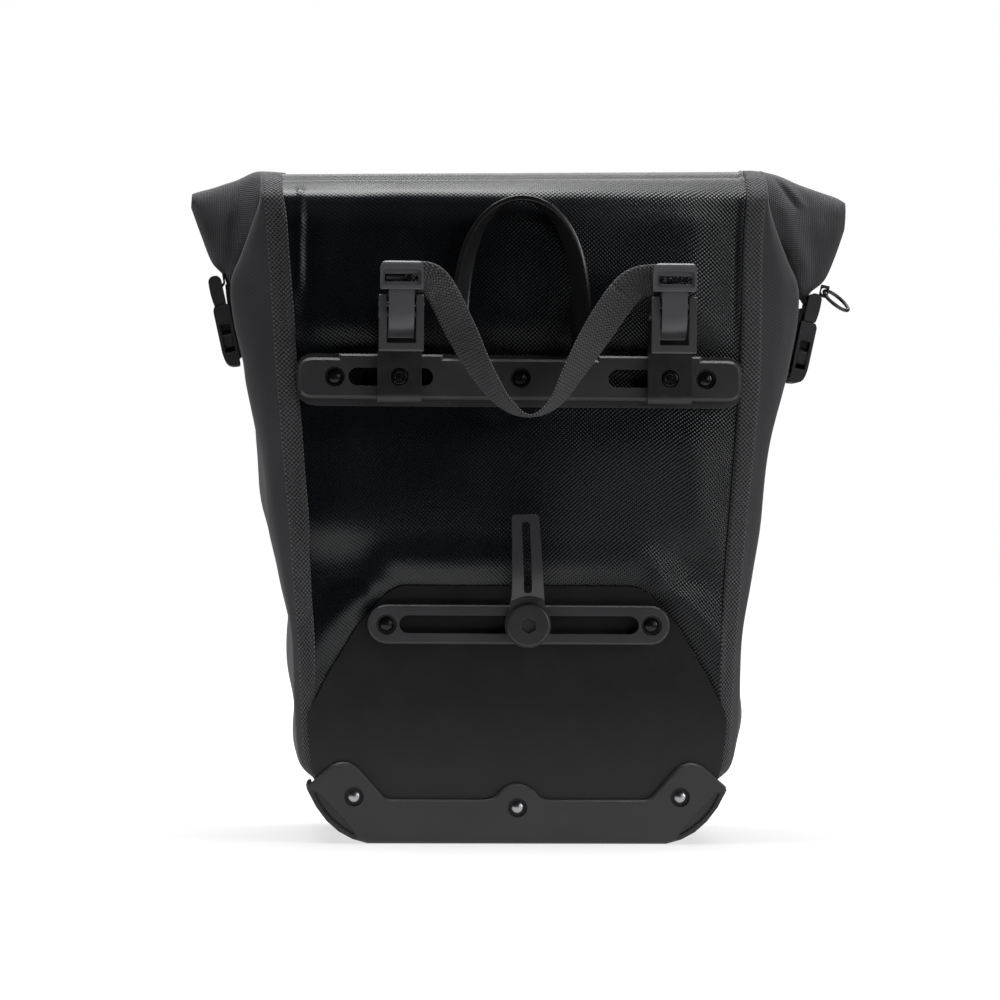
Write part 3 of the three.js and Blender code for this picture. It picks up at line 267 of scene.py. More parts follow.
def clamp_plastic():
    """Hook bodies: a paler fork in front of a darker clamp plate, with painted shade, near black, deep in
    the jaw.
    """
    g = Graph("clamp_plastic")
    place = g.place()
    _, y, z = g.axes(place)
    grain = g.noise(place, PLASTIC_GRAIN, 3, 0.6)
    broad = g.noise(place, 120, 4, 0.6)
    # paler towards the front, at the fork; darker behind, at the clamp plate
    paler_mask = g.math("MULTIPLY_ADD", broad, 0.3, g.ramp(y, *FORK_Y))
    tint = g.colour(paler_mask, (0.014, 0.014, 0.0148), (0.071, 0.0705, 0.074))
    # painted shade: near black deep in the jaw, between the lip and the clamp plate
    painted_jaw_shade = g.math("MULTIPLY", g.ramp(y, *JAW_SHADE_Y), g.ramp(z, *JAW_SHADE_Z))
    tint = g.colour(painted_jaw_shade, tint, (0.002, 0.002, 0.0022))
    roughness = g.math("ADD", g.math("MULTIPLY", broad, 0.2), 0.26)
    return g.finish(tint, roughness, g.bump(grain, 0.00004, 0.6), Specular_IOR_Level=0.42)


def wear_plate():
    """Matte sheet with random scuffs, and painted floor light that makes it paler towards the floor."""
    g = Graph("wear_plate")
    place = g.place()
    grain = g.noise(place, 1800, 3, 0.65)
    scuff = g.noise(place, 55, 6, 0.7)
    # painted light: the bounce from the floor, paler towards the bottom
    paler_mask = g.math("MULTIPLY", g.ramp(g.axes(place)[2], *PLATE_FLOOR_LIGHT_Z), 0.92)
    tone = g.math("MULTIPLY_ADD", g.ramp(scuff, 0.35, 0.75), 0.25, paler_mask)
    tint = g.colour(tone, (0.0065, 0.0062, 0.0067), (0.021, 0.020, 0.021))
    roughness = g.math("ADD", g.math("MULTIPLY", scuff, 0.2), 0.42)
    return g.finish(tint, roughness, g.bump(grain, 0.00003, 0.6), Specular_IOR_Level=0.3)


def metal(name, low, high, rough, metallic=1.0):
    """Metal with fine marks, tinted from low to high."""
    g = Graph(name)
    marks = g.noise(g.place(), 900, 4, 0.6)
    tint = g.colour(marks, low, high)
    roughness = g.math("ADD", g.math("MULTIPLY", marks, 0.15), rough - 0.07)
    return g.finish(tint, roughness, g.bump(marks, 0.00003, 0.4), metallic)


LOOK = {
    "gloss_tarpaulin": gloss_tarpaulin(),
    "matte_fabric": matte_fabric(),
    "seam_strip": matte_fabric("seam_strip_fabric", STRIP_PITCH, 1.5, light=0.8, spread=1.6),
    "roll_end": matte_fabric("roll_end_fabric", ROLL_END_PITCH, 0.6, True, 1.3, 1.15),
    "webbing": webbing(),
    "handle": moulded("handle_strap", 0.3, 0.27),
    "moulded_plastic": moulded(),
    "wear_plate": wear_plate(),
    "lever": moulded("lever_plastic", 2.9, 0.33),
    "clamp": clamp_plastic(),
    "buckle": moulded("buckle_plastic", 1.15, 0.36),
    # the protector carries painted shade on the floors of its recesses
    "protector": moulded("protector_plastic", 0.85, 0.42, shade_recesses=True),
    "anchor_disc": moulded("anchor_disc_plastic", 0.65, 0.4),
    "board": moulded("stiffener_board", 0.7, 0.5),
    "bright_steel": metal("bright_steel", (0.28, 0.28, 0.29), (0.5, 0.5, 0.52), 0.3),
    "pin_steel": metal("pin_steel", (0.10, 0.10, 0.105), (0.2, 0.2, 0.21), 0.4),
    "black_steel": metal("black_steel", (0.006, 0.006, 0.0065), (0.02, 0.02, 0.021), 0.24, 0.5),
}


# ------------------------------------------------------------------ mesh helpers
def mesh_object(name, points, faces, uvs, material):
    """points in mm; uvs one pair per point, in mm."""
    mesh = bpy.data.meshes.new(name)
    mesh.from_pydata([tuple(p) for p in np.asarray(points, float) * MM], [], faces)
    layer = mesh.uv_layers.new(name="cloth")
    loops = np.zeros(len(mesh.loops), np.int32)
    mesh.loops.foreach_get("vertex_index", loops)
    layer.data.foreach_set("uv", (np.asarray(uvs, float)[loops] * MM).astype(np.float32).ravel())
    mesh.materials.append(material)
    mesh.polygons.foreach_set("use_smooth", [True] * len(mesh.polygons))
    mesh.update()
    obj = bpy.data.objects.new(name, mesh)
    bpy.context.scene.collection.objects.link(obj)
    return obj


def grid_faces(rows, cols, closed=False):
    """Quads of a grid of points; a closed one joins its last column to its first."""
    faces = []
    for r in range(rows - 1):
        for c in range(cols if closed else cols - 1):
            d = (c + 1) % cols
            faces.append((r * cols + c, r * cols + d, (r + 1) * cols + d, (r + 1) * cols + c))
    return faces


def arc_length(points):
    """Distance along a line of points, from its first point to each."""
    steps = np.linalg.norm(np.diff(points, axis=0), axis=1)
    return np.concatenate([[0], np.cumsum(steps)])


def catmull(points, t):
    """Catmull-Rom through points at parameters t in 0..len-1."""
    p = np.asarray(points, float)
    n = len(p) - 1
    t = np.clip(np.asarray(t, float), 0, n)
    i = np.minimum(t.astype(int), n - 1)
    f = (t - i)[:, None]
    a, b, c, d = p[np.maximum(i - 1, 0)], p[i], p[i + 1], p[np.minimum(i + 2, n)]
    m0 = (c - a) * np.where(i == 0, 1.0, 0.5)[:, None]
    m1 = (d - b) * np.where(i + 2 > n, 1.0, 0.5)[:, None]
    return ((2 * f**3 - 3 * f**2 + 1) * b + (f**3 - 2 * f**2 + f) * m0
            + (3 * f**2 - 2 * f**3) * c + (f**3 - f**2) * m1)


def smooth(x, low, high):
    """0 at low, 1 at high, smooth between."""
    t = np.clip((np.asarray(x, float) - low) / (high - low), 0, 1)
    return t * t * (3 - 2 * t)


def ridge(distance, width):
    """1 at no distance, fading to either side."""
    return np.exp(-(distance / width) ** 2)


def solidify(obj, thickness):
    """Give a sheet its thickness, inwards from its outer face."""
    m = obj.modifiers.new("cloth thickness", "SOLIDIFY")
    m.thickness = thickness * MM
    m.offset = -1


def face_out(obj):
    bm = bmesh.new()
    bm.from_mesh(obj.data)
    bmesh.ops.recalc_face_normals(bm, faces=bm.faces)
    bm.to_mesh(obj.data)
    bm.free()


# ------------------------------------------------------------------ bag body
# height, back, seam, strip, fold, middle, front of each level of the bag, in mm
LEVELS = np.array([
    [4, -77, 80, 86, 92, 92, 60],
    [9, -81.5, 92, 98, 105, 105, 69],
    [16, -84.2, 102, 108, 114.3, 114.3, 75.5],
    [26, -85, 110, 116, 121.8, 121.8, 80],
    [38, -85, 117, 122, 126.6, 126.6, 82.5],
    [47, -85, 125, 131, 135.6, 135.6, 83.5],
    [64, -85, 126.5, 134, 140.3, 140.3, 84.5],
    [95, -85, 127, 135.5, 142.7, 142.7, 85],
    [130, -85, 127.7, 137.5, 143.8, 143.8, 85],
    [165, -85, 129.2, 140.5, 150.5, 150, 84.5],
    [207, -85, 132, 144, 158.2, 157.5, 83],
    [251, -85, 135.4, 148.2, 163.3, 162.5, 79],
    [295, -85, 138, 151.7, 171, 167, 71],
    [325, -85, 140, 153, 177, 167.5, 56],
    [348, -85, 141.2, 153.8, 178, 165, 34],
    [366, -85, 142.2, 154.6, 171, 161, 9],
    [385, -85, 143.2, 155.6, 163.8, 158, -14],
    [399, -85, 144.3, 156.8, 159.6, 156.5, -17],
    [405, -83.6, 144.8, 157.1, 159.2, 156.2, -18],
    [410, -79, 145, 157.4, 159, 156, -19],
    [416, -70.5, 145.3, 157.8, 158.8, 156, -20],
    [421, -56, 145.6, 158, 158.8, 156, -22],
])
PER_LEVEL = 8            # rows from one level to the next
BACK_Y = -85             # outer face of the flat back
TOP_LEAN = 3.2           # how far the soft top leans towards the left
TOP_SLOPE = 1 / 62       # rise of the soft top towards the right
FRONT_ROUND = 27         # reach of the rounded front corner
STRIP_RISE = 1.2         # how far the seam strip's edge lies behind the back
FABRIC = 1.2             # thickness of a panel
ROLL_FABRIC = 1.0
ROLL_REACH_Z = 384       # above this and behind the next line the roll hides the bag
ROLL_REACH_Y = -47
# columns of points across half the back, a seam strip, a side and half the front
BACK_COLS, STRIP_COLS, GUSSET_COLS, FRONT_COLS = 80, 5, 42, 26


def half_section(level):
    """Right half of a level, from the middle of the back to the middle of the front."""
    z, back, seam, strip, fold, mid, front = level
    depth = front - back
    t = np.linspace(0, 1, BACK_COLS + 1)[:, None]
    flat = np.hstack([seam * t, np.full_like(t, back)])
    t = np.linspace(0, 1, STRIP_COLS + 1)[1:, None]
    band = np.hstack([seam + (strip - seam) * t, back + STRIP_RISE * t**2])
    control = [
        [strip, back + STRIP_RISE], [strip + (fold - strip) * 0.68, back + 0.035 * depth],
        [fold, back + 0.13 * depth], [mid, back + 0.36 * depth], [mid, back + 0.8 * depth],
        [mid - 8, back + 0.955 * depth], [mid - FRONT_ROUND, front],
    ]
    side = catmull(control, np.linspace(0, len(control) - 1, GUSSET_COLS + 1)[1:])
    t = np.linspace(0, 1, FRONT_COLS + 1)[1:, None]
    face = np.hstack([(mid - FRONT_ROUND) * (1 - t), front + 3 * np.sin(t * math.pi / 2)])
    return np.vstack([flat, band, side, face])


def body_grid():
    """Smooth loft of the whole bag, one row of points round it for each height."""
    rows = catmull(LEVELS, np.linspace(0, len(LEVELS) - 1, (len(LEVELS) - 1) * PER_LEVEL + 1))
    rows[:, 1] = np.maximum(rows[:, 1], BACK_Y)
    grid = []
    for level in rows:
        half = half_section(level)
        left = half[1:-1][::-1] * [-1, 1]
        loop = np.vstack([half, left])
        grid.append(np.hstack([loop, np.full((len(loop), 1), level[0])]))
    grid = np.array(grid)
    y, z = grid[:, :, 1], grid[:, :, 2]
    z -= 3.4 * smooth(y, -43, -33) * np.clip(1 - (z - 4) / 22, 0, 1)
    z += (grid[:, :, 0] * TOP_SLOPE - 1.3) * smooth(z, 385, 421)
    grid[:, :, 0] -= TOP_LEAN * smooth(z, 270, 400)
    return grid


def plate_distance(x, z):
    """Rough distance outside the lower wear plate's edge."""
    half = np.interp(z, [20, 60, 79, 107, 137, 160, 175], [118, 129.5, 131, 118, 99, 76, 40])
    side = np.abs(x) - half
    top = z - 160
    return np.where(top > 0, np.hypot(np.maximum(np.abs(x) - 74, 0), top), side * 0.8)


def back_relief(x, z):
    """How far the back panel stands out towards the rack, in mm."""
    rail = ridge(np.maximum(np.abs(z - 289) - 16, 0), 14) * (np.abs(x) < 200)
    away = plate_distance(x, z)
    around = smooth(away, -4, 2) * ridge(away - 15, 11) * smooth(z, 70, 105)
    puff = 4.0 * around + 3.6 * (1 - smooth(x, 106, 142)) * smooth(z, 170, 200) * (1 - smooth(z, 384, 406))
    puff += 1.7 * ridge(x + 137.3, 2.1) * smooth(z, 338, 356) * (1 - smooth(z, 404, 410))
    puff += 1.2 * ridge(z - (228 + 0.20 * x), 20) * smooth(np.abs(x), 15, 60)
    puff += 1.0 * ridge(z - 345 - 0.08 * x, 22) * smooth(x, 40, 100)
    puff += 1.1 * ridge(np.abs(x) - 112, 14) * smooth(z, 175, 215) * (1 - smooth(z, 330, 370))
    puff -= 1.4 * ridge(np.abs(x) - 134, 7) * smooth(z, 150, 190) * (1 - smooth(z, 372, 395))
    puff += 0.5 * np.sin(x / 13 + z / 21) * np.sin(z / 17 - x / 34)
    covered = smooth(away, -3, 3)
    puff *= covered * (1 - rail) * (1 - smooth(z, 404, 416))
    return puff - 1.7 * ridge(z - 416.3 - x * TOP_SLOPE, 1.1)


def gusset_relief(y, z, side):
    """How far a side panel stands out beyond its smooth loft, in mm."""
    low = ridge(z - 62, 16) * 0.6 * smooth(y, -80, -50)
    low -= 2.4 * smooth(z, 20, 80) * (1 - smooth(z, 170, 210))
    folds = np.sin(z / 19 + side) * np.sin(y / 23 + 0.6 * side) * smooth(z, 40, 90)
    folds *= 1.0 + 1.4 * smooth(y, -58, -25)
    dent = -3.0 * ridge(z - (232 + 0.25 * y), 17) * ridge(y + 15, 42)
    dent -= 2.2 * ridge(z - (150 - 0.30 * y), 13) * ridge(y - 10, 45)
    if side > 0:
        dent -= 2.6 * ridge(z - 85, 22)
    else:
        dent += 3.2 * ridge(z - 78, 15) - 6.2 * ridge(z - 232, 36)
    return (low + folds + dent) * smooth(y, -84, -68) * (1 - smooth(z, 285, 300))


def front_relief(x, z):
    """How far the front panel stands out, in mm."""
    swell = 2.2 * np.cos(x / 150 * math.pi / 2) * smooth(z, 20, 120) * (1 - smooth(z, 300, 370))
    folds = 1.2 * np.sin(x / 31 + z / 47) * np.sin(z / 29 - x / 60)
    slant = -2.0 * ridge(z - (205 + 0.35 * np.abs(x)), 15)
    return (swell + folds + slant) * (1 - smooth(np.abs(x), 108, 134))


def add_body():
    """The bag's shell, with its relief, cut at the seams into its panels."""
    grid = body_grid()
    rows, cols = grid.shape[:2]
    x, y, z = grid[:, :, 0].copy(), grid[:, :, 1].copy(), grid[:, :, 2].copy()
    along = np.roll(grid, -1, 1) - np.roll(grid, 1, 1)
    up = np.gradient(grid, axis=0)
    normal = np.cross(along, up)
    normal /= np.linalg.norm(normal, axis=2, keepdims=True)
    seam_r, strip_r = BACK_COLS, BACK_COLS + STRIP_COLS
    front_r = strip_r + GUSSET_COLS
    front_l = front_r + 2 * FRONT_COLS
    strip_l = front_l + GUSSET_COLS
    column = np.arange(cols)
    relief = np.zeros((rows, cols))
    on_back = (column <= seam_r) | (column >= cols - seam_r)
    relief[:, on_back] = back_relief(x[:, on_back], z[:, on_back])
    for first, last, side in ((strip_r, front_r, 0.0), (front_l, strip_l, 2.0)):
        part = slice(first, last + 1)
        relief[:, part] = gusset_relief(y[:, part], z[:, part], side)
    part = slice(front_r, front_l + 1)
    relief[:, part] = front_relief(x[:, part], z[:, part])
    relief[:, seam_r - 1] += 1.1 * smooth(z[:, seam_r - 1], 318, 335)
    grid = grid + normal * relief[:, :, None]
    taper = np.interp(np.arange(STRIP_COLS + 1), [0, 2, STRIP_COLS], [0.8, 0.8, 0.1])
    pieces = [
        ("back_cover", range(-seam_r - 1, seam_r + 2), 0, "gloss_tarpaulin", "back_panel"),
        ("seam_strip_cover_right", range(seam_r, strip_r + 1), taper, "seam_strip", "seam_strip_right"),
        ("side_cover_right", range(strip_r - 1, front_r + 1), 0, "matte_fabric", "side_gusset_right"),
        ("front_cover", range(front_r, front_l + 1), 0, "gloss_tarpaulin", "front_panel"),
        ("side_cover_left", range(front_l, strip_l + 2), 0, "matte_fabric", "side_gusset_left"),
        ("seam_strip_cover_left", range(strip_l, cols - seam_r + 1), taper[::-1], "seam_strip",
         "seam_strip_left"),
    ]
    for name, span, lift, look, node in pieces:
        picked = np.array([c % cols for c in span])
        raised = normal[:, picked] * np.broadcast_to(lift, len(picked))[None, :, None]
        add_panel(name, grid[:, picked] + raised, look, node)


def add_panel(name, block, look, node):
    """One panel of the shell, without the faces that the rolled mouth hides."""
    rows, cols = block.shape[:2]
    flat = block.reshape(-1, 3)
    middle = rows // 2
    across = arc_length(block[middle])
    across -= across[cols // 2]
    height = np.array([arc_length(block[:, c]) for c in range(cols)]).T
    uvs = np.stack([np.repeat(across[None], rows, 0), height], 2).reshape(-1, 2)
    faces = [f for f in grid_faces(rows, cols)
             if not all(flat[i][2] > ROLL_REACH_Z and flat[i][1] > ROLL_REACH_Y for i in f)]
    obj = mesh_object(name, flat, faces, uvs, LOOK[look])
    solidify(obj, FABRIC)
    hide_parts(node)
    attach(obj, "bag")


def add_bottom():
    """Bottom sheet with rounded corners, which sags off the protector's lip to the floor."""
    low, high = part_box("bottom_panel")
    y0, x1, y1 = low.y / MM, high.x / MM, high.y / MM
    count, corner_radius = 40, 13
    points, uvs = [], []
    for v in np.linspace(0, 1, count):
        y = y0 + (y1 - y0) * v
        corner = min(1.0, ((1 - abs(2 * v - 1)) / 0.18))
        half = x1 - corner_radius * (1 - math.sqrt(max(0.0, 1 - (1 - corner) ** 2)))
        for u in np.linspace(-1, 1, count):
            x = half * u
            z = 3.5 - 3.3 * float(smooth(y, -43, -33)) + 0.15 * math.sin(x / 17) * math.sin(y / 13)
            points.append((x, y, max(z, 0.15)))
            uvs.append((x, y))
    obj = mesh_object("bottom_cover", points, grid_faces(count, count), uvs, LOOK["gloss_tarpaulin"])
    for polygon in obj.data.polygons:
        polygon.flip()
    solidify(obj, FABRIC)
    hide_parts("bottom_panel")
    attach(obj, "bag")


# ------------------------------------------------------------------ rolled top
ROLL_DROP = 2.6          # how far the fabric lies under the top of the CAD roll
ROLL_POWER = 2.9         # squareness of the roll's section
ROLL_TURNS = 1.9
ROLL_OVERLAP = 3         # how far the roll runs into each flattened end


def squared(value, power):
    """Sine or cosine of a section's angle, bent so that the section is squarer."""
    return math.copysign(abs(value) ** (2 / power), value)


def add_roll():
    """The mouth rolled forward: a spiral of tarpaulin."""
    low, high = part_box("roll_top")
    y0, y1 = low.y / MM, high.y / MM
    z0, z1 = low.z / MM, high.z / MM - ROLL_DROP
    cy, cz = (y0 + y1) / 2, (z0 + z1) / 2
    half_y, half_z = (y1 - y0) / 2, (z1 - z0) / 2
    count = 120
    profile = []
    for a in np.linspace(0, 2 * math.pi * ROLL_TURNS, count):
        shrink = 1 - 0.17 * a / (2 * math.pi)
        profile.append((cy + half_y * shrink * squared(math.cos(a + math.pi), ROLL_POWER),
                        cz - half_z * shrink * squared(math.sin(a + math.pi), ROLL_POWER)))
    profile = np.array(profile)
    along = arc_length(np.hstack([profile, np.zeros((count, 1))]))
    xs = np.linspace(low.x / MM - ROLL_OVERLAP, high.x / MM + ROLL_OVERLAP, 110)
    points, uvs = [], []
    for i, (y, z) in enumerate(profile):
        for x in xs:
            wobble = 0.7 * math.sin(x / 27 + i / 19) + 0.4 * math.sin(x / 11 - i / 13)
            top = smooth(z, z1 - 12, z1 - 2)
            inward = 1 - (0.9 + wobble) / 60
            points.append((x, cy + (y - cy) * inward,
                           cz + (z - cz) * inward - 0.35 * top * abs(wobble) + x * TOP_SLOPE))
            uvs.append((x, along[i]))
    obj = mesh_object("rolled_mouth", points, grid_faces(count, len(xs)), uvs,
                      LOOK["gloss_tarpaulin"])
    solidify(obj, ROLL_FABRIC)
    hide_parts("roll_top")
    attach(obj, "bag")


# middle y, half depth and squareness of the rings of a roll end, from the bag outwards
ROLL_END_DEPTHS = [
    (-29.2, 20.5, 2.8), (-29, 19.5, 2.7), (-28.5, 17.5, 2.5), (-27, 14.5, 2.5),
    (-26, 13, 2.4), (-25.5, 11.5, 2.3), (-26, 10, 2.2), (-26.5, 6, 2.1),
]


def crease_push(x, z, creases):
    """How far the creases, each a line with a width and a depth, lift the fabric at x, z."""
    push = 0.0
    for (ax, az), (bx, bz), width, depth in creases:
        d = np.array([bx - ax, bz - az])
        k = np.clip(np.dot([x - ax, z - az], d) / np.dot(d, d), 0, 1)
        gap = np.hypot(x - ax - k * d[0], z - az - k * d[1])
        push += depth * float(ridge(gap, width))
    return push + 0.35 * math.sin(x / 7 + z / 9) * math.sin(z / 6)


def add_roll_end(name, node, side, bottoms, tops, creases):
    """A flattened end of the roll bent down to its buckle, lofted outwards from ring to ring."""
    steps, around = 44, 72
    t = np.linspace(0, len(bottoms) - 1, steps)
    low = catmull(bottoms, t)
    high = catmull(tops, t)
    deep = catmull(ROLL_END_DEPTHS, t)
    angles = np.linspace(0, 2 * math.pi, around, endpoint=False)
    points, uvs = [], []
    centre = (low + high) / 2
    out = arc_length(centre)
    for i in range(steps):
        span = (high[i] - low[i]) / 2
        mid_y, half_y, power = deep[i]
        ring = []
        for a in angles:
            y = mid_y + half_y * squared(math.cos(a), power)
            x, z = centre[i] + span * squared(math.sin(a), power)
            ring.append([side * x, y, z])
        girth = arc_length(np.array(ring))
        for j, point in enumerate(ring):
            facing = 1.0 if math.cos(angles[j]) < 0 else -1.0
            flat = 1 - abs(math.sin(angles[j])) ** 4
            point[1] -= facing * flat * crease_push(abs(point[0]), point[2], creases)
            points.append(point)
            uvs.append((out[i], girth[j]))
    faces = grid_faces(steps, around, closed=True)
    last = (steps - 1) * around
    faces.append(tuple(range(last, last + around)))
    obj = mesh_object(name, points, faces, uvs, LOOK["roll_end"])
    weld = obj.modifiers.new("weld", "WELD")
    weld.merge_threshold = 0.00005
    face_out(obj)
    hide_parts(node)
    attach(obj, "bag")


def add_roll_ends():
    """Lower edge, upper edge and creases of each end as x, z, with x counted outwards."""
    add_roll_end(
        "roll_end_cover_right", "roll_end_right", 1,
        bottoms=[(146, 377), (158, 377), (169.5, 369), (182.5, 343.2),
                 (191, 348.8), (199, 356), (205.5, 371), (210.8, 386.5)],
        tops=[(143, 424.6), (155, 424.4), (168, 421.7), (180, 416.9),
              (189, 413.9), (198, 411), (206, 408.2), (211.4, 405.2)],
        creases=[((163, 421), (178, 402), 1.8, -2.2), ((168, 421), (184, 402), 2.0, 1.6),
                 ((170, 400), (185, 362), 4.0, 1.2), ((186, 404), (192, 358), 5.0, -1.0)],
    )
    add_roll_end(
        "roll_end_cover_left", "roll_end_left", -1,
        bottoms=[(146, 377), (158, 377), (167, 368), (179, 344.5),
                 (185, 355), (192.5, 363.6), (199.5, 381), (205.6, 397.5)],
        tops=[(146, 420), (158, 420.8), (166, 420.2), (176, 415.6),
              (184, 412.9), (192, 410.2), (200, 408), (205, 406.3)],
        creases=[((160, 417), (166, 380), 3.0, 1.4), ((170, 412), (180, 365), 5.0, -1.0),
                 ((182, 404), (186, 365), 4.0, 0.9)],
    )


# ------------------------------------------------------------------ straps
STRAP_WIDTH = 19.8
STRAP_Y = -25            # middle of the side straps
PULL_THICK = 1.7
SIDE_THICK = 1.4
TAIL_THICK = 3.6         # the tail is folded double


def strap(name, centres, acrosses, thick, per=8, span=(0.0, 1.0)):
    """Webbing with rounded selvedges through stations, per points each; span is the part kept."""
    n = len(centres) - 1
    t = np.linspace(0, n, n * per + 1)
    at = catmull(centres, t)
    across = catmull(acrosses, t)
    across /= np.linalg.norm(across, axis=1, keepdims=True)
    tangent = np.gradient(at, axis=0)
    tangent /= np.linalg.norm(tangent, axis=1, keepdims=True)
    across -= tangent * np.sum(across * tangent, axis=1, keepdims=True)
    across /= np.linalg.norm(across, axis=1, keepdims=True)
    thin = np.cross(tangent, across)
    first, last = (int(round(share * (len(t) - 1))) for share in span)
    length = arc_length(at)
    half, edge = STRAP_WIDTH / 2, thick / 2
    section = [(-half, 0.0), (-half + 0.35, 0.8), (-half + 1.2, 1.0)]
    section += [(u, 1.0) for u in np.linspace(-half + 2.6, half - 2.6, 7)]
    section += [(half - 1.2, 1.0), (half - 0.35, 0.8), (half, 0.0)]
    section += [(u, -h) for u, h in section[1:-1][::-1]]
    points, uvs = [], []
    for i in range(first, last + 1):
        for u, h in section:
            points.append(at[i] + across[i] * u + thin[i] * h * edge)
            uvs.append((u, length[i]))
    count = last - first + 1
    m = len(section)
    faces = grid_faces(count, m, closed=True)
    faces.append(tuple(range(m - 1, -1, -1)))
    faces.append(tuple(range((count - 1) * m, count * m)))
    obj = mesh_object(name, points, faces, uvs, LOOK["webbing"])
    face_out(obj)
    return obj


def centre_x(node):
    low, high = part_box(node)
    return (low.x + high.x) / 2 / MM


def add_pull_strap():
    """From one lever head down to the middle and up to the other: centres and across directions."""
    lx = centre_x("left_hook_bolt")
    rx = centre_x("right_hook_bolt")
    route = [
        ((lx, -125.5, 349.5), (1, 0, 0)), ((lx, -121.5, 349.5), (1, 0, 0)),
        ((lx + 6, -118.4, 350), (0.8, 0, 0.5)), ((lx + 17, -118, 349.5), (0.2, 0, 1)),
        ((-50.5, -119, 341), (0.75, 0, 0.6)), ((-38.9, -118.5, 318.3), (0.95, -0.3, 0.4)),
        ((-26, -117.5, 293.7), (0.75, -0.8, 0.35)), ((-11.5, -116.2, 274), (0.3, -1, 0.25)),
        ((4.2, -115.5, 265.6), (0, -1, 0)),
        ((19.6, -116.2, 274), (-0.3, -1, 0.25)), ((31.5, -117.5, 293.7), (-0.75, -0.8, 0.35)),
        ((46, -118.5, 318.3), (-0.95, -0.3, 0.4)), ((61.5, -119, 341), (-0.75, 0, 0.6)),
        ((rx - 21, -118, 348.6), (-0.2, 0, 1)), ((rx - 6, -118.4, 350), (-0.8, 0, 0.5)),
        ((rx, -121.5, 349.5), (-1, 0, 0)), ((rx, -125.5, 349.5), (-1, 0, 0)),
    ]
    centres = np.array([c for c, _ in route], float)
    acrosses = np.array([a for _, a in route], float)
    parts = [
        ("pull_strap_left_end", (0, 1 / 4), ("left_hook", "left_lever"), 4, 2),
        ("pull_strap_left", (1 / 4, 1 / 2), ("bag", "left_hook"), 8, 5),
        ("pull_strap_right", (1 / 2, 3 / 4), ("bag", "right_hook"), 8, 11),
        ("pull_strap_right_end", (3 / 4, 1), ("right_hook", "right_lever"), 12, 14),
    ]
    for name, span, bodies, start, end in parts:
        obj = strap(name, centres, acrosses, PULL_THICK, 10, span)
        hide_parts("pull_strap")
        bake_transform(obj)


def upright_strap(name, route, thick):
    """Strap along x, z points that faces sideways."""
    centres = np.array([(x, STRAP_Y, z) for x, z in route], float)
    return strap(name, centres, np.array([(0, 1, 0)] * len(route), float), thick), centres


def add_side_straps():
    """Webbing from each buckle to the bag, and the free tail beside the left one."""
    for side, body, route in (
        ("left", "left_buckle", [(-181.3, 301), (-176.6, 302.1), (-173.9, 303.4), (-173.2, 307),
                                 (-174.4, 311.5), (-181.2, 340.5), (-182.4, 349.5)]),
        ("right", "right_buckle", [(183, 293.4), (178.3, 294.4), (175.6, 295.5), (174.8, 299),
                                   (176, 303.8), (182.5, 333.5), (183, 337)]),
    ):
        obj, centres = upright_strap(f"side_strap_cover_{side}", route, SIDE_THICK)
        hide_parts(f"side_strap_{side}")
        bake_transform(obj)
    tail = [(-172.6, 303.5), (-174.6, 308), (-178, 323.6), (-180.8, 339.4), (-181.9, 349)]
    obj, _ = upright_strap("side_strap_tail_left", tail, TAIL_THICK)
    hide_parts("side_strap_left")
    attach(obj, "bag")


HANDLE_FOOT_Z = 303.9
HANDLE_LOW_Z = 304.2     # just above the rail
HANDLE_RISE = 97
HANDLE_HALF_WIDTH = 43   # at the front edge; the rear edge is closer in
HANDLE_REAR_HALF = 33
HANDLE_THICK = 1.6       # half thickness at a raised rim
HANDLE_WIDTH = 20


def add_handle():
    """Arched strap handle with raised rims, broad at its two feet."""
    steps = 60
    t = np.linspace(-1, 1, steps + 1) * math.pi / 2
    rise = np.cos(t) ** 0.62
    front = np.stack([HANDLE_HALF_WIDTH * np.sin(t), -93 - 13 * rise,
                      HANDLE_FOOT_Z + HANDLE_RISE * rise], 1)
    rear = np.stack([HANDLE_REAR_HALF * np.sin(t), np.full_like(t, -87.2),
                     HANDLE_FOOT_Z + (HANDLE_RISE + 0.5) * rise], 1)
    centre = (front + rear) / 2
    across = rear - front
    tangent = np.gradient(centre, axis=0)
    thin = np.cross(tangent, across)
    thin /= np.linalg.norm(thin, axis=1, keepdims=True)
    face = [(-0.5, 0.7), (-0.48, 1.0), (-0.40, 1.0), (-0.38, 0.72), (0.0, 0.7),
            (0.38, 0.72), (0.40, 1.0), (0.48, 1.0), (0.5, 0.7)]
    other = [(-u, -h) for u, h in face]
    shape = other[-1:] + face + other[:-1]
    length = arc_length(centre)
    points, uvs = [], []
    for i in range(steps + 1):
        for u, h in shape:
            p = centre[i] + across[i] * u + thin[i] * h * HANDLE_THICK
            points.append((p[0], p[1], max(p[2], HANDLE_LOW_Z)))
            uvs.append((u * HANDLE_WIDTH, length[i]))
    m = len(shape)
    faces = grid_faces(steps + 1, m, closed=True)
    faces.append(tuple(range(m - 1, -1, -1)))
    faces.append(tuple(range(steps * m, (steps + 1) * m)))
    obj = mesh_object("handle_strap", points, faces, uvs, LOOK["handle"])
    face_out(obj)
    sub = obj.modifiers.new("round", "SUBSURF")
    sub.levels = sub.render_levels = 1
    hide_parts("carry_handle")
    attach(obj, "bag")


# ------------------------------------------------------------------ carried over hardware
# width of the softened edges, in mm
EDGES = {"upper_rail": 0.8, "lower_rail": 0.7, "bottom_edge_protector": 0.8, "lower_wear_plate": 0.3}
SMALL_EDGE = 0.35
SHARP_ANGLE = 35         # edges that turn more than this are softened, in degrees
# look of a moulded piece that has a word in its name
MOULDED_LOOKS = {"lever": "lever", "hook": "clamp", "buckle": "buckle", "protector": "protector"}


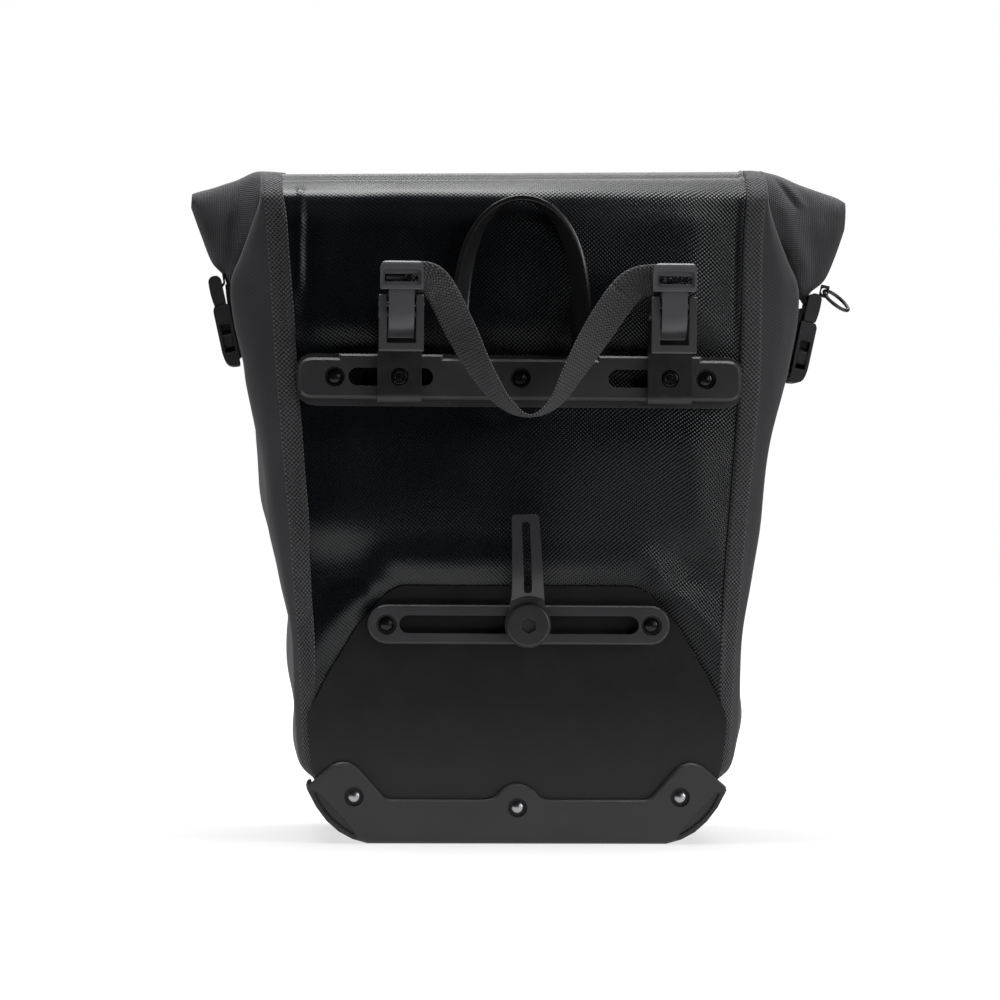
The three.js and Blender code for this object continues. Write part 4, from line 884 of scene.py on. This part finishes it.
def soften(obj, width):
    weld = obj.modifiers.new("weld", "WELD")
    weld.merge_threshold = 0.00002
    bevel = obj.modifiers.new("edge", "BEVEL")
    bevel.width = width * MM
    bevel.segments = 2
    bevel.limit_method = "ANGLE"
    bevel.angle_limit = math.radians(SHARP_ANGLE)
    for polygon in obj.data.polygons:
        polygon.use_smooth = True
    normals = obj.modifiers.new("normals", "WEIGHTED_NORMAL")
    normals.keep_sharp = True


def finish_of(name, slot):
    """Look of a carried over piece: a few have a finish of their own."""
    if name == "anchor_bolt":
        return "anchor_disc"
    if name.endswith("lever_pin"):
        return "pin_steel"
    if slot == "moulded_plastic":
        for word, look in MOULDED_LOOKS.items():
            if word in name:
                return look
    return slot


def dress_hardware():
    """Look and softened edges for each CAD node that still shows."""
    slots = {s["node"]: s["material_slot"] for s in frame["record"]["subparts"]}
    for name, node in NODES.items():
        if node.hide_render:
            continue
        node.data.materials.clear()
        node.data.materials.append(LOOK[finish_of(name, slots[name])])
        soften(node, EDGES.get(name, SMALL_EDGE))


# ------------------------------------------------------------------ stage, lights and camera
# metres and degrees from here on
NEAR_FLOOR = 0.62        # radius of the floor that lights the bag
FAR_FLOOR = 9.0
FLOOR_Z = -0.0002
SENSOR_WIDTH = 36        # mm
VIEW_WIDTH = 0.623       # width of the picture at the camera's target
CAMERA_DISTANCE = 2.7
CAMERA_TARGET = (-0.0118, -0.085, 0.2137)
CAMERA_TURN = -3.5       # round the bag, towards its left side
CAMERA_TILT = 0.38       # about the line of sight


def floor_material(name, glow):
    """Pale floor that shines a little of its own light."""
    g = Graph(name)
    g.finish((0.3, 0.3, 0.3), 0.9, Specular_IOR_Level=0.1)
    g.bsdf.inputs["Emission Color"].default_value = (1, 1, 1, 1)
    g.bsdf.inputs["Emission Strength"].default_value = glow
    return g.mat


def floor_disc(name, inner, outer, material):
    """Ring of floor around the bag; inner radius 0 makes a disc."""
    count = 64
    turn = [2 * math.pi * i / count for i in range(count)]
    radii = (max(inner, 0.001), outer)
    points = [(r * math.cos(a), r * math.sin(a), FLOOR_Z) for r in radii for a in turn]
    faces = [(count + i, count + (i + 1) % count, (i + 1) % count, i) for i in range(count)]
    if not inner:
        faces.append(tuple(range(count)))
    mesh = bpy.data.meshes.new(name)
    mesh.from_pydata(points, [], faces)
    mesh.materials.append(material)
    floor = bpy.data.objects.new(name, mesh)
    bpy.context.scene.collection.objects.link(floor)
    return floor


def add_stage():
    floor_disc("floor_near", 0, NEAR_FLOOR, floor_material("pale_floor", 0.66))
    far = floor_disc("floor_far", NEAR_FLOOR, FAR_FLOOR, floor_material("pale_floor_far", 1.1))
    far.visible_diffuse = far.visible_glossy = False


def aim(obj, target):
    direction = Vector(target) - obj.location
    obj.rotation_euler = direction.to_track_quat("-Z", "Y").to_euler()


def area(name, place, target, size, power):
    light = bpy.data.lights.new(name, "AREA")
    light.shape = "RECTANGLE"
    light.size, light.size_y = size
    light.energy = power
    obj = bpy.data.objects.new(name, light)
    obj.location = place
    bpy.context.scene.collection.objects.link(obj)
    aim(obj, target)
    return obj


def add_world():
    """White behind the bag for the camera, a dim room for everything else."""
    world = bpy.data.worlds.new("studio")
    world.use_nodes = True
    tree = world.node_tree
    dim = tree.nodes["Background"]
    dim.inputs[0].default_value = (0.8, 0.88, 1.0, 1)
    dim.inputs[1].default_value = 0.008
    white = tree.nodes.new("ShaderNodeBackground")
    white.inputs[0].default_value = (1, 1, 1, 1)
    white.inputs[1].default_value = 1.0
    path = tree.nodes.new("ShaderNodeLightPath")
    pick = tree.nodes.new("ShaderNodeMixShader")
    tree.links.new(path.outputs["Is Camera Ray"], pick.inputs[0])
    tree.links.new(dim.outputs[0], pick.inputs[1])
    tree.links.new(white.outputs[0], pick.inputs[2])
    tree.links.new(pick.outputs[0], tree.nodes["World Output"].inputs["Surface"])
    bpy.context.scene.world = world


def add_lights():
    add_world()
    area("overhead", (0.0, 0.1, 2.2), (0, 0.05, 0.25), (2.2, 1.2), 78)
    area("right_of_camera", (1.5, -2.2, 0.8), (0.05, 0, 0.22), (0.5, 1.2), 5)
    left = area("left_side", (-2.2, -0.5, 0.8), (0, 0, 0.22), (0.9, 1.4), 17)
    left.visible_glossy = False
    area("right_side", (2.1, -1.0, 0.9), (0, 0, 0.25), (0.7, 1.3), 21)
    area("behind", (0.3, 1.9, 1.7), (0, 0, 0.2), (2.0, 1.0), 20)


def add_camera():
    data = bpy.data.cameras.new("camera")
    camera = bpy.data.objects.new("camera", data)
    bpy.context.scene.collection.objects.link(camera)
    data.sensor_width = SENSOR_WIDTH
    data.lens = SENSOR_WIDTH * CAMERA_DISTANCE / VIEW_WIDTH
    data.clip_end = 60
    x, y, z = CAMERA_TARGET
    turn = math.radians(CAMERA_TURN)
    camera.location = (x + CAMERA_DISTANCE * math.sin(turn), y - CAMERA_DISTANCE * math.cos(turn), z)
    aim(camera, CAMERA_TARGET)
    camera.rotation_euler.rotate_axis("Z", math.radians(CAMERA_TILT))
    bpy.context.scene.camera = camera


add_body()
add_bottom()
add_roll()
add_roll_ends()
add_pull_strap()
add_side_straps()
add_handle()
dress_hardware()
add_stage()
add_lights()
add_camera()
bpy.context.scene.view_settings.view_transform = "Standard"
